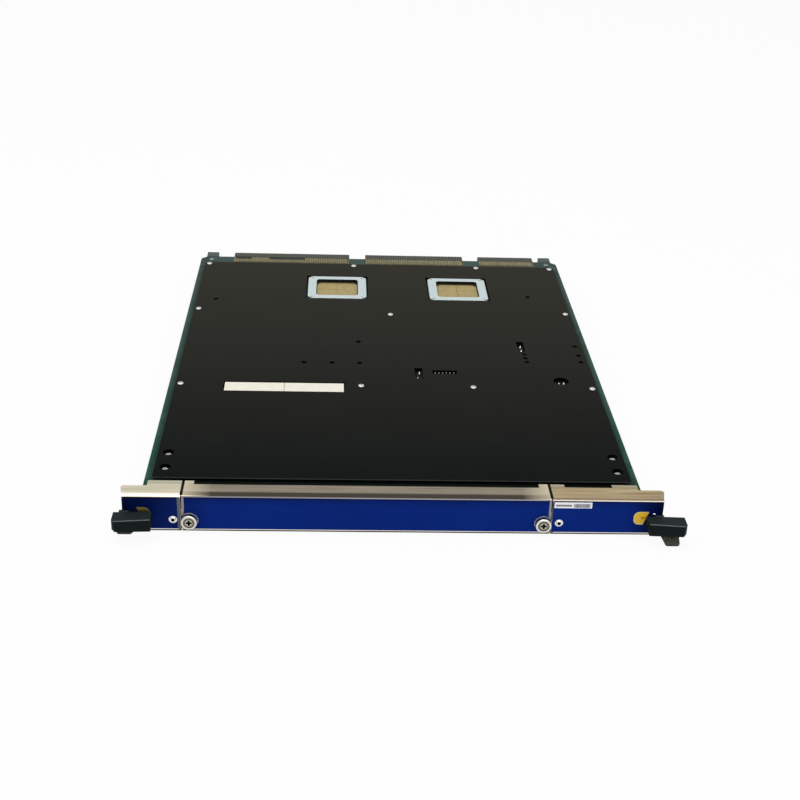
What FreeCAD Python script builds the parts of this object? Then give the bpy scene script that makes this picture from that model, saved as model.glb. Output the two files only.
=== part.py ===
import FreeCAD, Part
import math
import os
import re
import Sketcher

# A switch control board for a network chassis, lying with its component side down.
# Millimetres. X runs along the front panel, +Y goes from the panel's face to the backplane, +Z is up.
# The origin is on the face, at the middle of the panel's lower edge.

SIZES = {
    # Front panel: two end wings and a blank panel over the plug-in bay between them.
    "panel_half": 216.0,
    "panel_height": 32.75,
    "panel_sheet": 1.5,
    "panel_bend": 1.7,
    "top_flange": 24.2,
    "low_flange": 14.0,
    "flange_step": 4.5,
    "flange_short": 16.2,
    "flange_shoulder": 198.0,
    "flange_relief": 0.7,
    "blank_step": 5.6,
    "blank_tab": 8.5,
    "flange_corner": 3.0,
    "flange_flare": 3.0,
    "seam_left": -169.5,
    "seam_right": 125.8,
    "seam_gap": 0.45,
    "notch_inner": 205.1,
    "notch_low": 6.6,
    "notch_high": 18.8,
    # Coloured film on the face of each section.
    "film_depth": 0.25,
    "film_low": 2.7,
    "film_high": 31.6,
    "film_end": 0.7,
    "film_notch": 0.2,
    "film_seam": 2.2,
    # Circuit board.
    "board_half": 203.0,
    "board_front": 6.0,
    "board_rear": 544.5,
    "board_low": 23.2,
    "board_high": 26.0,
    "board_corner": 7.0,
    # Cover sheet over the solder side.
    "cover_half": 196.6,
    "cover_front": 36.0,
    "cover_rear": 519.5,
    "cover_low": 28.0,
    "cover_high": 29.0,
    "cover_corner": 4.0,
    "cover_access": 2.7,
    # Cover screws and the standoffs under them.
    "screw_side": 191.7,
    "screw_rear": 513.5,
    "screw_middle": 384.7,
    "screw_front": 208.0,
    "screw_rear_left": -30.0,
    "screw_rear_right": 108.3,
    "screw_centre": 7.4,
    "screw_centre_row": 376.6,
    "screw_front_left": -24.8,
    "screw_front_right": 79.9,
    "screw_radius": 1.5,
    "screw_head": 3.1,
    "screw_dome": 1.7,
    "standoff_radius": 2.9,
    "hole_play": 0.1,
    # Side brackets, which tie the wings to the board and carry the ejectors.
    "bracket_inner": 182.0,
    "bracket_wall": 194.0,
    "bracket_outer": 214.0,
    "bracket_depth": 30.0,
    "bracket_arm": 86.0,
    "bracket_sheet": 1.5,
    "bracket_screw": 187.9,
    "bracket_screw_near": 53.0,
    "bracket_screw_far": 77.7,
    "bracket_window": 4.75,
    # Ejector lever.
    "pivot_out": 208.0,
    "pivot_back": 9.0,
    "pivot_radius": 2.0,
    "pivot_play": 0.06,
    "boss_radius": 4.6,
    "boss_low": 4.0,
    "boss_high": 20.8,
    "jaw_high": 10.4,
    "jaw_reach": 14.0,
    "neck_inner": 205.5,
    "neck_outer": 211.5,
    "bar_inner": 205.2,
    "bar_outer": 219.2,
    "bar_front": -11.2,
    "bar_back": -6.0,
    "bar_low": 13.0,
    "bar_high": 18.2,
    # Sliding grip on the lever. The right one stands pulled out.
    "grip_inner": 192.0,
    "grip_outer": 222.4,
    "grip_back": -3.4,
    "grip_low": 11.0,
    "grip_high": 20.6,
    "grip_ridge_back": -16.2,
    "grip_lean": 0.22,
    "grip_trim": 3.0,
    "grip_flare": 1.7,
    "grip_fall": 0.8,
    "grip_chamfer": 4.5,
    "grip_edge": 0.8,
    "grip_travel": 10.5,
    "cavity_inner": 194.3,
    "cavity_outer": 220.0,
    "cavity_front": -13.0,
    "cavity_lip": -5.6,
    "cavity_low": 12.6,
    "cavity_high": 18.6,
    "cavity_mouth": 212.4,
    # Release trigger under the grip. The right one hangs open.
    "trigger_inner": 203.5,
    "trigger_outer": 218.0,
    "trigger_taper": 3.4,
    "trigger_length": 14.1,
    "trigger_sheet": 1.4,
    "trigger_tip": 2.0,
    "trigger_barrel": 1.5,
    "trigger_back": -5.6,
    "trigger_axis": 9.2,
    "trigger_pin": 0.9,
    "trigger_open": 35.0,
    "trigger_tuck": 3.2,
    "lug_width": 1.9,
    "lug_gap": 0.3,
    "lug_front": -8.0,
    "lug_rear": -3.6,
    "lug_low": 7.2,
    # Captive thumbscrews of the blank panel, and the lugs behind them.
    "thumb_inset": 6.2,
    "thumb_height": 11.0,
    "knob_radius": 6.4,
    "knob_front": -5.5,
    "knob_back": -1.9,
    "recess_long": 2.6,
    "recess_wide": 0.6,
    "recess_deep": 1.8,
    "shank_radius": 1.6,
    "shank_end": 7.6,
    "collar_radius": 6.8,
    "collar_front": -1.5,
    "collar_barrel": 4.9,
    "collar_pocket": 4.2,
    "collar_floor": 0.7,
    "collar_bore": 1.95,
    "spring_outer": 3.5,
    "spring_inner": 2.9,
    "spring_gap": 0.3,
    "lug_back": 3.5,
    "lug_outer": 11.5,
    "lug_near": 12.0,
    "lug_bottom": 3.6,
    "lug_top": 20.0,
    "insert_radius": 4.2,
    "insert_back": 6.8,
    "rivet_inset": 6.8,
    "rivet_head": 3.2,
    "rivet_proud": 0.9,
    "rivet_radius": 1.8,
    "rivet_bore": 1.2,
    "rivet_tail": 5.0,
    # Backplane connectors and guide blocks at the rear edge.
    "plug_left_start": -166.2,
    "plug_left_end": -34.9,
    "plug_middle_start": -16.4,
    "plug_middle_end": 95.6,
    "plug_right_start": 114.0,
    "plug_right_end": 177.1,
    "plug_front": 521.0,
    "plug_rear": 558.0,
    "plug_low": 5.0,
    "plug_ledge": 545.0,
    "plug_slot": 1.6,
    "plug_slot_deep": 6.0,
    "plug_slot_low": 7.4,
    "plug_slot_high": 22.6,
    "plug_pitch": 6.25,
    "plug_key": 3.0,
    "guide_out": 191.0,
    "guide_half": 6.4,
    "guide_front": 527.0,
    "guide_low": 7.0,
    "guide_axis": 15.0,
    "guide_bore": 4.05,
    "guide_depth": 24.0,
    "guide_mouth": 1.4,
    "guide_screw": 534.0,
    # Switch chips with their heat sinks below the board and backing plates above it.
    "chip_left": -48.3,
    "chip_right": 82.6,
    "chip_row": 450.0,
    "chip_half": 20.0,
    "chip_base": 1.4,
    "lid_half": 17.0,
    "lid_low": 20.0,
    "plate_wide": 31.4,
    "plate_long": 30.6,
    "plate_high": 29.2,
    "plate_corner": 4.5,
    "window_half": 22.4,
    "window_corner": 4.0,
    "plate_screw": 27.0,
    "plate_play": 2.0,
    "sink_wide": 37.0,
    "sink_long": 35.0,
    "sink_base": 15.5,
    "fin_sheet": 1.4,
    "fin_count": 14.0,
    "sink_post": 4.2,
    "sink_screw": 1.4,
    "sink_head": 3.0,
    "sink_head_low": 12.5,
    # Plug-in bay: docking connector, its solder side strips and the guide rails.
    "dock_start": -151.0,
    "dock_end": -41.0,
    "dock_front": 196.0,
    "dock_rear": 213.7,
    "dock_low": 9.0,
    "dock_strip_high": 28.6,
    "dock_split": -96.1,
    "dock_gap": 0.4,
    "dock_wall": 2.4,
    "dock_mouth": 11.0,
    "dock_slot_play": 1.2,
    "rail_left": -166.0,
    "rail_right": 122.3,
    "rail_width": 7.0,
    "rail_sheet": 1.5,
    "rail_low": 5.0,
    "rail_front": 24.0,
    "rail_rear": 188.0,
    # Power parts and control chips on the component side.
    "brick_start": 132.0,
    "brick_end": 193.0,
    "brick_front": 258.0,
    "brick_rear": 316.0,
    "brick_low": 10.5,
    "brick_plate": 3.0,
    "brick_core": 3.5,
    "brick_tap": 1.5,
    "brick_tap_inset": 5.1,
    "can_across": 164.6,
    "can_along": 224.6,
    "can_radius": 7.0,
    "can_low": 9.2,
    "can_groove": 0.7,
    "choke_across": 30.2,
    "choke_along": 237.4,
    "choke_half": 12.0,
    "choke_low": 12.5,
    "header_start": 43.4,
    "header_end": 66.8,
    "header_front": 236.6,
    "header_rear": 244.8,
    "header_low": 14.4,
    "logic_row": 330.0,
    "logic_left": -110.0,
    "logic_middle": -30.0,
    "logic_right": 45.0,
    "logic_half": 15.5,
    "logic_low": 20.8,
}

doc = FreeCAD.newDocument("switch_control_board")
sizes = doc.addObject("Spreadsheet::Sheet", "sizes")
for row, (word, number) in enumerate(SIZES.items(), start=1):
    sizes.set(f"A{row}", word)
    sizes.set(f"B{row}", str(number))
    sizes.setAlias(f"B{row}", word)
doc.recompute()

SIDES = {"left": -1, "right": 1}
nodes = []


def bound(formula):
    """A formula of plain size names, with each name pointing at its cell."""
    return re.sub(r"[a-z][a-z_]*", lambda name: "sizes." + name.group(0), formula)


def value(formula):
    return float(sizes.evalExpression(bound(formula)))


def at(side, formula):
    """A distance outwards from the middle, on the given side."""
    return f"({formula}) * {side}"


def rectangle(x_low, y_low, x_high, y_high):
    return [(x_low, y_low), (x_high, y_low), (x_high, y_high), (x_low, y_high)]


def many_sided(x, y, radius, count):
    """The corners of a small hole, head or shank, with straight sides so that the part stays light."""
    turns = [2 * math.pi * (corner + 0.5) / count for corner in range(count)]
    return [
        (f"{x} + ({radius}) * ({math.cos(turn):.6f})", f"{y} + ({radius}) * ({math.sin(turn):.6f})")
        for turn in turns
    ]


def new_body(node):
    body = doc.addObject("PartDesign::Body", node)
    body.Label = node
    nodes.append(body)
    return body


def sketch_on(body, name, role, start, loops, circles):
    """A sketch on an origin plane, moved along +X, +Y or +Z to start, with every point bound to the sheet."""
    sketch = body.newObject("Sketcher::SketchObject", name + "_sketch")
    sketch.AttachmentSupport = [(next(f for f in body.Origin.OriginFeatures if f.Role == role), "")]
    sketch.MapMode = "FlatFace"
    along = f"-({start})" if role == "XZ_Plane" else start
    sketch.setExpression("AttachmentOffset.Base.z", bound(along))
    shapes, ties, formulas = [], [], {}

    def tie(formula, kind, *where):
        formulas[len(ties)] = bound(formula)
        ties.append(Sketcher.Constraint(kind, *where, value(formula)))

    for loop in loops:
        first = len(shapes)
        spots = [FreeCAD.Vector(value(x), value(y), 0) for x, y in loop]
        shapes += [Part.LineSegment(spot, after) for spot, after in zip(spots, spots[1:] + spots[:1])]
        for index, (x, y) in enumerate(loop):
            line, following = first + index, first + (index + 1) % len(loop)
            ties.append(Sketcher.Constraint("Coincident", line, 2, following, 1))
            tie(x, "DistanceX", -1, 1, line, 1)
            tie(y, "DistanceY", -1, 1, line, 1)
    for x, y, radius in circles:
        ring = len(shapes)
        centre = FreeCAD.Vector(value(x), value(y), 0)
        shapes.append(Part.Circle(centre, FreeCAD.Vector(0, 0, 1), value(radius)))
        tie(x, "DistanceX", -1, 1, ring, 3)
        tie(y, "DistanceY", -1, 1, ring, 3)
        tie(radius, "Radius", ring)
    sketch.addGeometry(shapes, False)
    sketch.addConstraint(ties)
    for place, formula in formulas.items():
        sketch.setExpression(f"Constraints[{place}]", formula)
    return sketch


def pad(body, name, role, start, end, loops=(), circles=()):
    """Material between two planes along +X, +Y or +Z."""
    feature = body.newObject("PartDesign::Pad", name)
    feature.Profile = sketch_on(body, name, role, start, loops, circles)
    feature.setExpression("Length", bound(f"({end}) - ({start})"))
    feature.Reversed = role == "XZ_Plane"
    body.Tip = feature
    doc.recompute()
    return feature


def pocket(body, name, role, start, end, loops=(), circles=()):
    """A cut between two planes along +X, +Y or +Z, which has to take material away."""
    before = body.Tip.Shape.Volume
    sketch = sketch_on(body, name, role, start, loops, circles)
    feature = body.newObject("PartDesign::Pocket", name)
    feature.Profile = sketch
    feature.setExpression("Length", bound(f"({end}) - ({start})"))
    feature.Reversed = role != "XZ_Plane"
    body.Tip = feature
    doc.recompute()
    if not feature.Shape.Volume < before - 1e-6:
        raise RuntimeError(f"{body.Label}.{name} cuts nothing")
    return feature


def pockets(body, name, role, start, end, loops):
    """A row of separate cuts of the same depth."""
    for index, loop in enumerate(loops, start=1):
        pocket(body, f"{name}_{index}", role, start, end, [loop])


def dress(body, kind, name, size, chosen):
    """A fillet or chamfer on the edges whose bounding box the chooser accepts."""
    base = body.Tip
    edges = [f"Edge{i}" for i, edge in enumerate(base.Shape.Edges, start=1) if chosen(edge.BoundBox)]
    if not edges:
        raise RuntimeError(f"{body.Label}.{name} finds no edge")
    feature = body.newObject("PartDesign::" + kind, name)
    feature.Base = (base, edges)
    feature.setExpression("Radius" if kind == "Fillet" else "Size", bound(size))
    body.Tip = feature
    doc.recompute()
    return feature


def upright(box, x=None, y=None):
    """True for a vertical edge, at the given X and Y where they are stated."""
    thin = box.XLength < 1e-6 and box.YLength < 1e-6 and box.ZLength > 1e-6
    beside = x is None or abs(box.XMin - x) < 1e-4
    behind = y is None or abs(box.YMin - y) < 1e-4
    return thin and beside and behind


def crosswise(box, y, z):
    """True for an edge that runs along X at the given Y and Z."""
    straight = box.YLength < 1e-6 and box.ZLength < 1e-6
    return straight and abs(box.YMin - y) < 1e-4 and abs(box.ZMin - z) < 1e-4


def group(node, pattern, places):
    """Like pieces in one node: separate copies of a pattern body, each at its own place."""
    copies = []
    for x, y, z in places:
        copy = pattern.Shape.copy()
        copy.translate(FreeCAD.Vector(value(x), value(y), value(z)))
        copies.append(copy)
    feature = doc.addObject("Part::Feature", node)
    feature.Label = node
    feature.Shape = Part.makeCompound(copies)
    feature.Placement = FreeCAD.Placement()
    nodes.append(feature)
    return feature


def pattern_body(name):
    body = doc.addObject("PartDesign::Body", name)
    body.Label = name
    return body


COVER_SCREWS = [
    ("-screw_side", "screw_rear"),
    ("screw_rear_left", "screw_rear"),
    ("screw_rear_right", "screw_rear"),
    ("screw_side", "screw_rear"),
    ("-screw_side", "screw_middle"),
    ("screw_centre", "screw_centre_row"),
    ("screw_side", "screw_middle"),
    ("-screw_side", "screw_front"),
    ("screw_front_left", "screw_front"),
    ("screw_front_right", "screw_front"),
    ("screw_side", "screw_front"),
]
BRACKET_SCREWS = [
    (at(side, "bracket_screw"), row)
    for side in SIDES.values()
    for row in ("bracket_screw_near", "bracket_screw_far")
]
CHIPS = {"left": "chip_left", "right": "chip_right"}
SINK_SCREWS = [
    (f"{chip} + ({across}) * plate_screw", f"chip_row + ({along}) * plate_screw")
    for chip in CHIPS.values()
    for across in (-1, 1)
    for along in (-1, 1)
]
GUIDE_SCREWS = [(at(side, "guide_out"), "guide_screw") for side in SIDES.values()]
SEAMS = {"left": "seam_left", "right": "seam_right"}
THUMBS = {"left": "seam_left + thumb_inset", "right": "seam_right - thumb_inset"}
RIVETS = {"left": "seam_left - rivet_inset", "right": "seam_right + rivet_inset"}


# Circuit board: a thick laminated sheet with cut rear corners and a hole for every fixing.
board = new_body("circuit_board")
pad(board, "laminate", "XY_Plane", "board_low", "board_high", [[
    ("-board_half", "board_front"),
    ("board_half", "board_front"),
    ("board_half", "board_rear - board_corner"),
    ("board_half - board_corner", "board_rear"),
    ("-board_half + board_corner", "board_rear"),
    ("-board_half", "board_rear - board_corner"),
]])
pockets(board, "fixing_hole", "XY_Plane", "board_low - 1", "board_high + 1", [
    many_sided(x, y, "screw_radius + hole_play", 6) for x, y in BRACKET_SCREWS + SINK_SCREWS + GUIDE_SCREWS
])

# Cover sheet over the solder side, with windows for the backing plates and the docking strips,
# clearance holes over the bracket screws and access holes over leads and test points.
cover = new_body("solder_side_cover")
pad(cover, "sheet", "XY_Plane", "cover_low", "cover_high", [[
    ("-cover_half", "cover_front"),
    ("cover_half", "cover_front"),
    ("cover_half", "cover_rear - cover_corner"),
    ("cover_half - cover_corner", "cover_rear"),
    ("-cover_half + cover_corner", "cover_rear"),
    ("-cover_half", "cover_rear - cover_corner"),
]])
pockets(cover, "screw_hole", "XY_Plane", "cover_low - 1", "cover_high + 1", [
    many_sided(x, y, "screw_radius + hole_play", 6) for x, y in COVER_SCREWS
] + [many_sided(x, y, "bracket_window", 12) for x, y in BRACKET_SCREWS])
ACCESS_HOLES = [
    ("-176", "412"),
    ("-26.6", "307.7"),
    ("-79.2", "258.5"),
    ("-52.4", "258.5"),
    ("-25.8", "258.5"),
    ("157.4", "430.9"),
    ("136", "283.3"),
    ("136.4", "274.5"),
    ("136.8", "265.8"),
    ("189.6", "304"),
    ("190.2", "282.5"),
    ("190.2", "267"),
]
pockets(cover, "access_hole", "XY_Plane", "cover_low - 1", "cover_high + 1", [
    many_sided(x, y, "cover_access", 8) for x, y in ACCESS_HOLES
] + [many_sided("can_across", "can_along", "can_radius + 0.4", 16)])
plate_windows = [
    rectangle(
        f"{chip} - plate_wide - plate_play", "chip_row - plate_long - plate_play",
        f"{chip} + plate_wide + plate_play", "chip_row + plate_long + plate_play",
    )
    for chip in CHIPS.values()
]
pocket(cover, "plate_windows", "XY_Plane", "cover_low - 1", "cover_high + 1", plate_windows)
lead_windows = [
    rectangle("dock_start - dock_slot_play", "dock_front - 0.8",
              "dock_end + dock_slot_play", "dock_rear + 1.4"),
    rectangle("choke_across - 3.7", "choke_along - 11.2",
              "choke_across + 3.7", "choke_along + 11.2"),
    rectangle("header_start", "header_front + 0.5", "header_end", "header_rear - 0.4"),
    rectangle("131.4", "289.5", "138.2", "313"),
]
pocket(cover, "lead_windows", "XY_Plane", "cover_low - 1", "cover_high + 1", lead_windows)

# Cover standoffs, swaged into the board, and the pan head screws that hold the sheet on them.
standoff = pattern_body("standoff_pattern")
pad(standoff, "barrel", "XY_Plane", "board_high", "cover_low", [
    many_sided("0", "0", "standoff_radius", 6),
    many_sided("0", "0", "screw_radius + hole_play", 6),
])
group("cover_standoffs", standoff, [(x, y, "0") for x, y in COVER_SCREWS])


def screw_pattern(name, seat, tip):
    """A pan head screw that points down, with its head on the plane at seat and its end at tip."""
    body = pattern_body(name)
    pad(body, "shank", "XY_Plane", tip, seat, [many_sided("0", "0", "screw_radius", 6)])
    pad(body, "head", "XY_Plane", seat, f"{seat} + screw_dome", [many_sided("0", "0", "screw_head", 8)])
    return body


group("cover_screws", screw_pattern("cover_screw_pattern", "cover_high", "board_high + 0.2"),
      [(x, y, "0") for x, y in COVER_SCREWS])
group("bracket_screws", screw_pattern("bracket_screw_pattern", "board_high", "board_low - bracket_sheet"),
      [(x, y, "0") for x, y in BRACKET_SCREWS])


def channel(body, start, end):
    """A folded front panel section: the face with a top and a bottom flange, bent to the rear."""
    pad(body, "fold", "YZ_Plane", start, end, [[
        ("0", "0"),
        ("low_flange", "0"),
        ("low_flange", "panel_sheet"),
        ("panel_sheet", "panel_sheet"),
        ("panel_sheet", "panel_height - panel_sheet"),
        ("top_flange", "panel_height - panel_sheet"),
        ("top_flange", "panel_height"),
        ("0", "panel_height"),
    ]])
    top = value("panel_height")
    dress(body, "Fillet", "outer_bends", "panel_bend",
          lambda box: crosswise(box, 0, 0) or crosswise(box, 0, top))
    inside = value("panel_sheet")
    dress(body, "Fillet", "inner_bends", "panel_bend - panel_sheet",
          lambda box: crosswise(box, inside, inside) or crosswise(box, inside, top - inside))


def flange_cut(body, name, start, end, depth):
    """A cut in the top flange from its rear edge forward to the given depth."""
    pocket(body, name, "XY_Plane", "panel_height - panel_sheet - 1", "panel_height + 1",
           [rectangle(start, depth, end, "top_flange + 1")])


# End wings, with a notch at the outer end for the ejector and a rivet hole by the seam.
WING_ENDS = {
    "left": ("-panel_half", "seam_left - seam_gap"),
    "right": ("seam_right + seam_gap", "panel_half"),
}
WING_STEPS = {"left": None, "right": ("138.2", "177.2")}
for word, side in SIDES.items():
    wing = new_body(f"{word}_wing_panel")
    channel(wing, *WING_ENDS[word])
    pocket(wing, "ejector_notch", "XZ_Plane", "-1", "panel_sheet + 1", [
        rectangle(at(side, "notch_inner"), "notch_low", at(side, "panel_half + 1"), "notch_high")
    ])
    pocket(wing, "rivet_hole", "XZ_Plane", "-1", "panel_sheet + 1",
           [many_sided(RIVETS[word], "thumb_height", "rivet_radius", 8)])
    if WING_STEPS[word]:
        flange_cut(wing, "flange_step", *WING_STEPS[word], "top_flange - flange_step")
    flange_cut(wing, "flange_shoulder",
               at(side, "flange_shoulder"), at(side, "panel_half + 1"), "flange_short")
    edge = f"{SEAMS[word]} + ({side}) * seam_gap"
    flange_cut(wing, "flange_relief",
               f"{edge} - ({side})", f"{edge} + ({side}) * flange_relief", "panel_bend")
    pad(wing, "flange_flare", "XY_Plane", "panel_height - panel_sheet", "panel_height", [[
        (at(side, "panel_half - 1"), "panel_bend"),
        (at(side, "panel_half"), "panel_bend"),
        (at(side, "panel_half + flange_flare"), "flange_short"),
        (at(side, "panel_half - 1"), "flange_short"),
    ]])
    outer, rear = value(at(side, "panel_half + flange_flare")), value("flange_short")
    dress(wing, "Fillet", "flange_corner", "flange_corner", lambda box: upright(box, outer, rear))

# Blank panel over the plug-in bay, with a hole near each end for a captive screw's collar.
blank = new_body("blank_panel")
channel(blank, "seam_left + seam_gap", "seam_right - seam_gap")
pocket(blank, "collar_holes", "XZ_Plane", "-1", "panel_sheet + 1",
       [many_sided(thumb, "thumb_height", "collar_barrel", 16) for thumb in THUMBS.values()])
flange_cut(blank, "flange_step", "seam_left + blank_tab", "seam_right - blank_tab", "top_flange - blank_step")
for word, side in SIDES.items():
    edge = f"{SEAMS[word]} - ({side}) * seam_gap"
    flange_cut(blank, f"{word}_relief",
               f"{edge} + ({side})", f"{edge} - ({side}) * flange_relief", "panel_bend")

# Films on the face of each section, cut back from the bends, the seams and the fixings.
for word, side in SIDES.items():
    film = new_body(f"{word}_wing_film")
    outer = at(side, "panel_half - film_end")
    inner = f"{SEAMS[word]} + ({side}) * (seam_gap + film_end)"
    notch = at(side, "notch_inner - film_notch")
    pad(film, "film", "XZ_Plane", "-film_depth", "0", [[
        (inner, "film_low"),
        (outer, "film_low"),
        (outer, "notch_low - film_notch"),
        (notch, "notch_low - film_notch"),
        (notch, "notch_high + film_notch"),
        (outer, "notch_high + film_notch"),
        (outer, "film_high"),
        (inner, "film_high"),
    ], many_sided(RIVETS[word], "thumb_height", "rivet_head + 0.2", 16)])
film = new_body("blank_panel_film")
pad(film, "film", "XZ_Plane", "-film_depth", "0",
    [rectangle("seam_left + film_seam", "film_low", "seam_right - film_seam", "film_high")])
pocket(film, "collar_holes", "XZ_Plane", "-film_depth - 1", "1",
       [many_sided(thumb, "thumb_height", "collar_radius + 0.3", 16) for thumb in THUMBS.values()])

# Side brackets: folded sheet under the board, with an arm for the board screws
# and two plates that hold the ejector's pivot pin between them.
for word, side in SIDES.items():
    bracket = new_body(f"{word}_side_bracket")
    low, high = "panel_sheet", "board_low"
    pad(bracket, "fold", "XZ_Plane", "panel_bend", "low_flange", [[
        (at(side, "bracket_inner"), high),
        (at(side, "bracket_inner"), f"{high} - bracket_sheet"),
        (at(side, "bracket_wall"), f"{high} - bracket_sheet"),
        (at(side, "bracket_wall"), low),
        (at(side, "bracket_outer"), low),
        (at(side, "bracket_outer"), f"{low} + bracket_sheet"),
        (at(side, "bracket_wall + bracket_sheet"), f"{low} + bracket_sheet"),
        (at(side, "bracket_wall + bracket_sheet"), f"{high} - bracket_sheet"),
        (at(side, "bracket_outer"), f"{high} - bracket_sheet"),
        (at(side, "bracket_outer"), high),
    ]])
    pad(bracket, "arm", "XY_Plane", f"{high} - bracket_sheet", high, [
        rectangle(at(side, "bracket_inner"), "low_flange", at(side, "bracket_wall"), "bracket_arm")
    ])
    tip = value("bracket_arm")
    dress(bracket, "Fillet", "arm_corners", "flange_corner", lambda box: upright(box, y=tip))
    pocket(bracket, "pin_hole", "XY_Plane", f"{low} - 1", f"{high} + 1",
           [many_sided(at(side, "pivot_out"), "pivot_back", "pivot_radius / 0.9659", 12)])
    pocket(bracket, "screw_holes", "XY_Plane", f"{high} - bracket_sheet - 1", f"{high} + 1",
           [many_sided(at(side, "bracket_screw"), row, "screw_radius", 6)
            for row in ("bracket_screw_near", "bracket_screw_far")])
    pin = new_body(f"{word}_pivot_pin")
    pad(pin, "pin", "XY_Plane", low, high, circles=[(at(side, "pivot_out"), "pivot_back", "pivot_radius")])

# Ejector levers: die cast, with a boss on the pivot pin, a jaw that reaches out past the panel's end
# to work on the chassis, and a neck through the notch to the bar that the grip slides on.
JAW = [
    ("0", "-4.4"), ("7", "-5.8"), ("jaw_reach", "-6"), ("jaw_reach", "-3.6"), ("8.5", "-2.8"), ("7.5", "0"),
    ("8.5", "2.8"), ("jaw_reach - 1", "3.6"), ("jaw_reach - 1", "6"), ("6", "6.4"), ("0", "4.4"),
]
for word, side in SIDES.items():
    lever = new_body(f"{word}_ejector_lever")
    pivot = (at(side, "pivot_out"), "pivot_back")
    pad(lever, "boss", "XY_Plane", "boss_low", "boss_high", [many_sided(*pivot, "boss_radius", 20)])
    pad(lever, "jaw", "XY_Plane", "boss_low", "jaw_high",
        [[(at(side, f"pivot_out + {x}"), f"pivot_back + ({y})") for x, y in JAW]])
    pad(lever, "bar", "XY_Plane", "bar_low", "bar_high", [[
        (at(side, "neck_inner"), "pivot_back"),
        (at(side, "neck_inner"), "bar_back"),
        (at(side, "bar_inner"), "bar_back"),
        (at(side, "bar_inner"), "bar_front"),
        (at(side, "bar_outer"), "bar_front"),
        (at(side, "bar_outer"), "bar_back"),
        (at(side, "neck_outer"), "bar_back"),
        (at(side, "neck_outer"), "pivot_back"),
    ]])
    pocket(lever, "pivot_bore", "XY_Plane", "boss_low - 1", "boss_high + 1",
           circles=[(*pivot, "pivot_radius + pivot_play")])

# Grips: moulded sleeves that taper and flare towards the outer end. A lipped cavity open to the rear
# holds the lever's bar, and two lugs below carry the trigger's pin.
SLIDE = {"left": "0", "right": "grip_travel"}
for word, side in SIDES.items():
    grip = new_body(f"{word}_grip")
    slant = sketch_on(grip, "moulding", "YZ_Plane", at(side, "grip_inner"), [[
        ("grip_trim", "grip_low - grip_trim"),
        ("grip_trim", "grip_high"),
        ("grip_ridge_back", "grip_high"),
        ("grip_ridge_back - (grip_high - grip_low + grip_trim) * grip_lean", "grip_low - grip_trim"),
    ]], [])
    moulding = grip.newObject("PartDesign::Pad", "moulding")
    moulding.Profile = slant
    moulding.UseCustomVector = True
    moulding.AlongSketchNormal = True
    moulding.setExpression("Direction.x", bound(at(side, "grip_outer - grip_inner")))
    moulding.setExpression("Direction.y", bound("-grip_flare"))
    moulding.setExpression("Direction.z", bound("-grip_fall"))
    moulding.setExpression("Length", bound("grip_outer - grip_inner"))
    grip.Tip = moulding
    doc.recompute()
    wide = (at(side, "grip_inner - 1"), at(side, "grip_outer + 1"))
    pocket(grip, "flat_back", "XZ_Plane", "grip_back", "grip_trim + 1",
           [rectangle(wide[0], "grip_low - 6", wide[1], "grip_high + 1")])
    pocket(grip, "flat_base", "XY_Plane", "grip_low - 6", "grip_low",
           [rectangle(wide[0], "grip_ridge_back - 9", wide[1], "grip_back + 1")])
    pocket(grip, "outer_corner", "XY_Plane", "grip_low - 1", "grip_high + 1", [[
        (at(side, "grip_outer - grip_chamfer"), "grip_ridge_back - grip_flare - 4"),
        (at(side, "grip_outer + 1"), "grip_ridge_back - grip_flare - 4"),
        (at(side, "grip_outer + 1"), "grip_ridge_back - grip_flare - 2 + grip_chamfer"),
        (at(side, "grip_outer"), "grip_ridge_back - grip_flare - 2 + grip_chamfer"),
    ]])
    top = value("grip_high - grip_fall - 0.4")
    dress(grip, "Fillet", "soft_edges", "grip_edge", lambda box: box.ZMin > top and box.XLength > 20)
    pocket(grip, "bar_cavity", "XZ_Plane", "cavity_front", "cavity_lip", [
        rectangle(at(side, "cavity_inner"), "cavity_low", at(side, "cavity_outer"), "cavity_high")
    ])
    pocket(grip, "neck_slot", "XZ_Plane", "cavity_lip - 1", "0", [
        rectangle(at(side, "cavity_inner"), "cavity_low", at(side, "cavity_mouth"), "cavity_high")
    ])
    for name, edge in (
        ("inner_lug", "trigger_inner - lug_gap - lug_width"),
        ("outer_lug", "trigger_outer + lug_gap"),
    ):
        start, end = sorted((at(side, edge), at(side, f"{edge} + lug_width")), key=value)
        pad(grip, name, "YZ_Plane", start, end, [[
            ("lug_rear", "grip_low + 0.5"),
            ("lug_front", "grip_low + 0.5"),
            ("lug_front", "lug_low + 1.5"),
            ("lug_front + 1.2", "lug_low"),
            ("lug_rear - 0.6", "lug_low"),
            ("lug_rear", "lug_low + 0.6"),
        ]])
    ends = sorted((at(side, "trigger_inner - 3"), at(side, "trigger_outer + 3")), key=value)
    pocket(grip, "pin_holes", "YZ_Plane", *ends, circles=[("trigger_back", "trigger_axis", "trigger_pin")])
    pin = new_body(f"{word}_trigger_pin")
    inner, outer = "trigger_inner - lug_gap - lug_width", "trigger_outer + lug_gap + lug_width"
    ends = sorted((at(side, inner), at(side, outer)), key=value)
    pad(pin, "pin", "YZ_Plane", *ends, circles=[("trigger_back", "trigger_axis", "trigger_pin")])
    for piece in (grip, pin):
        piece.setExpression("Placement.Base.x", bound(at(side, SLIDE[word])))

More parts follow.
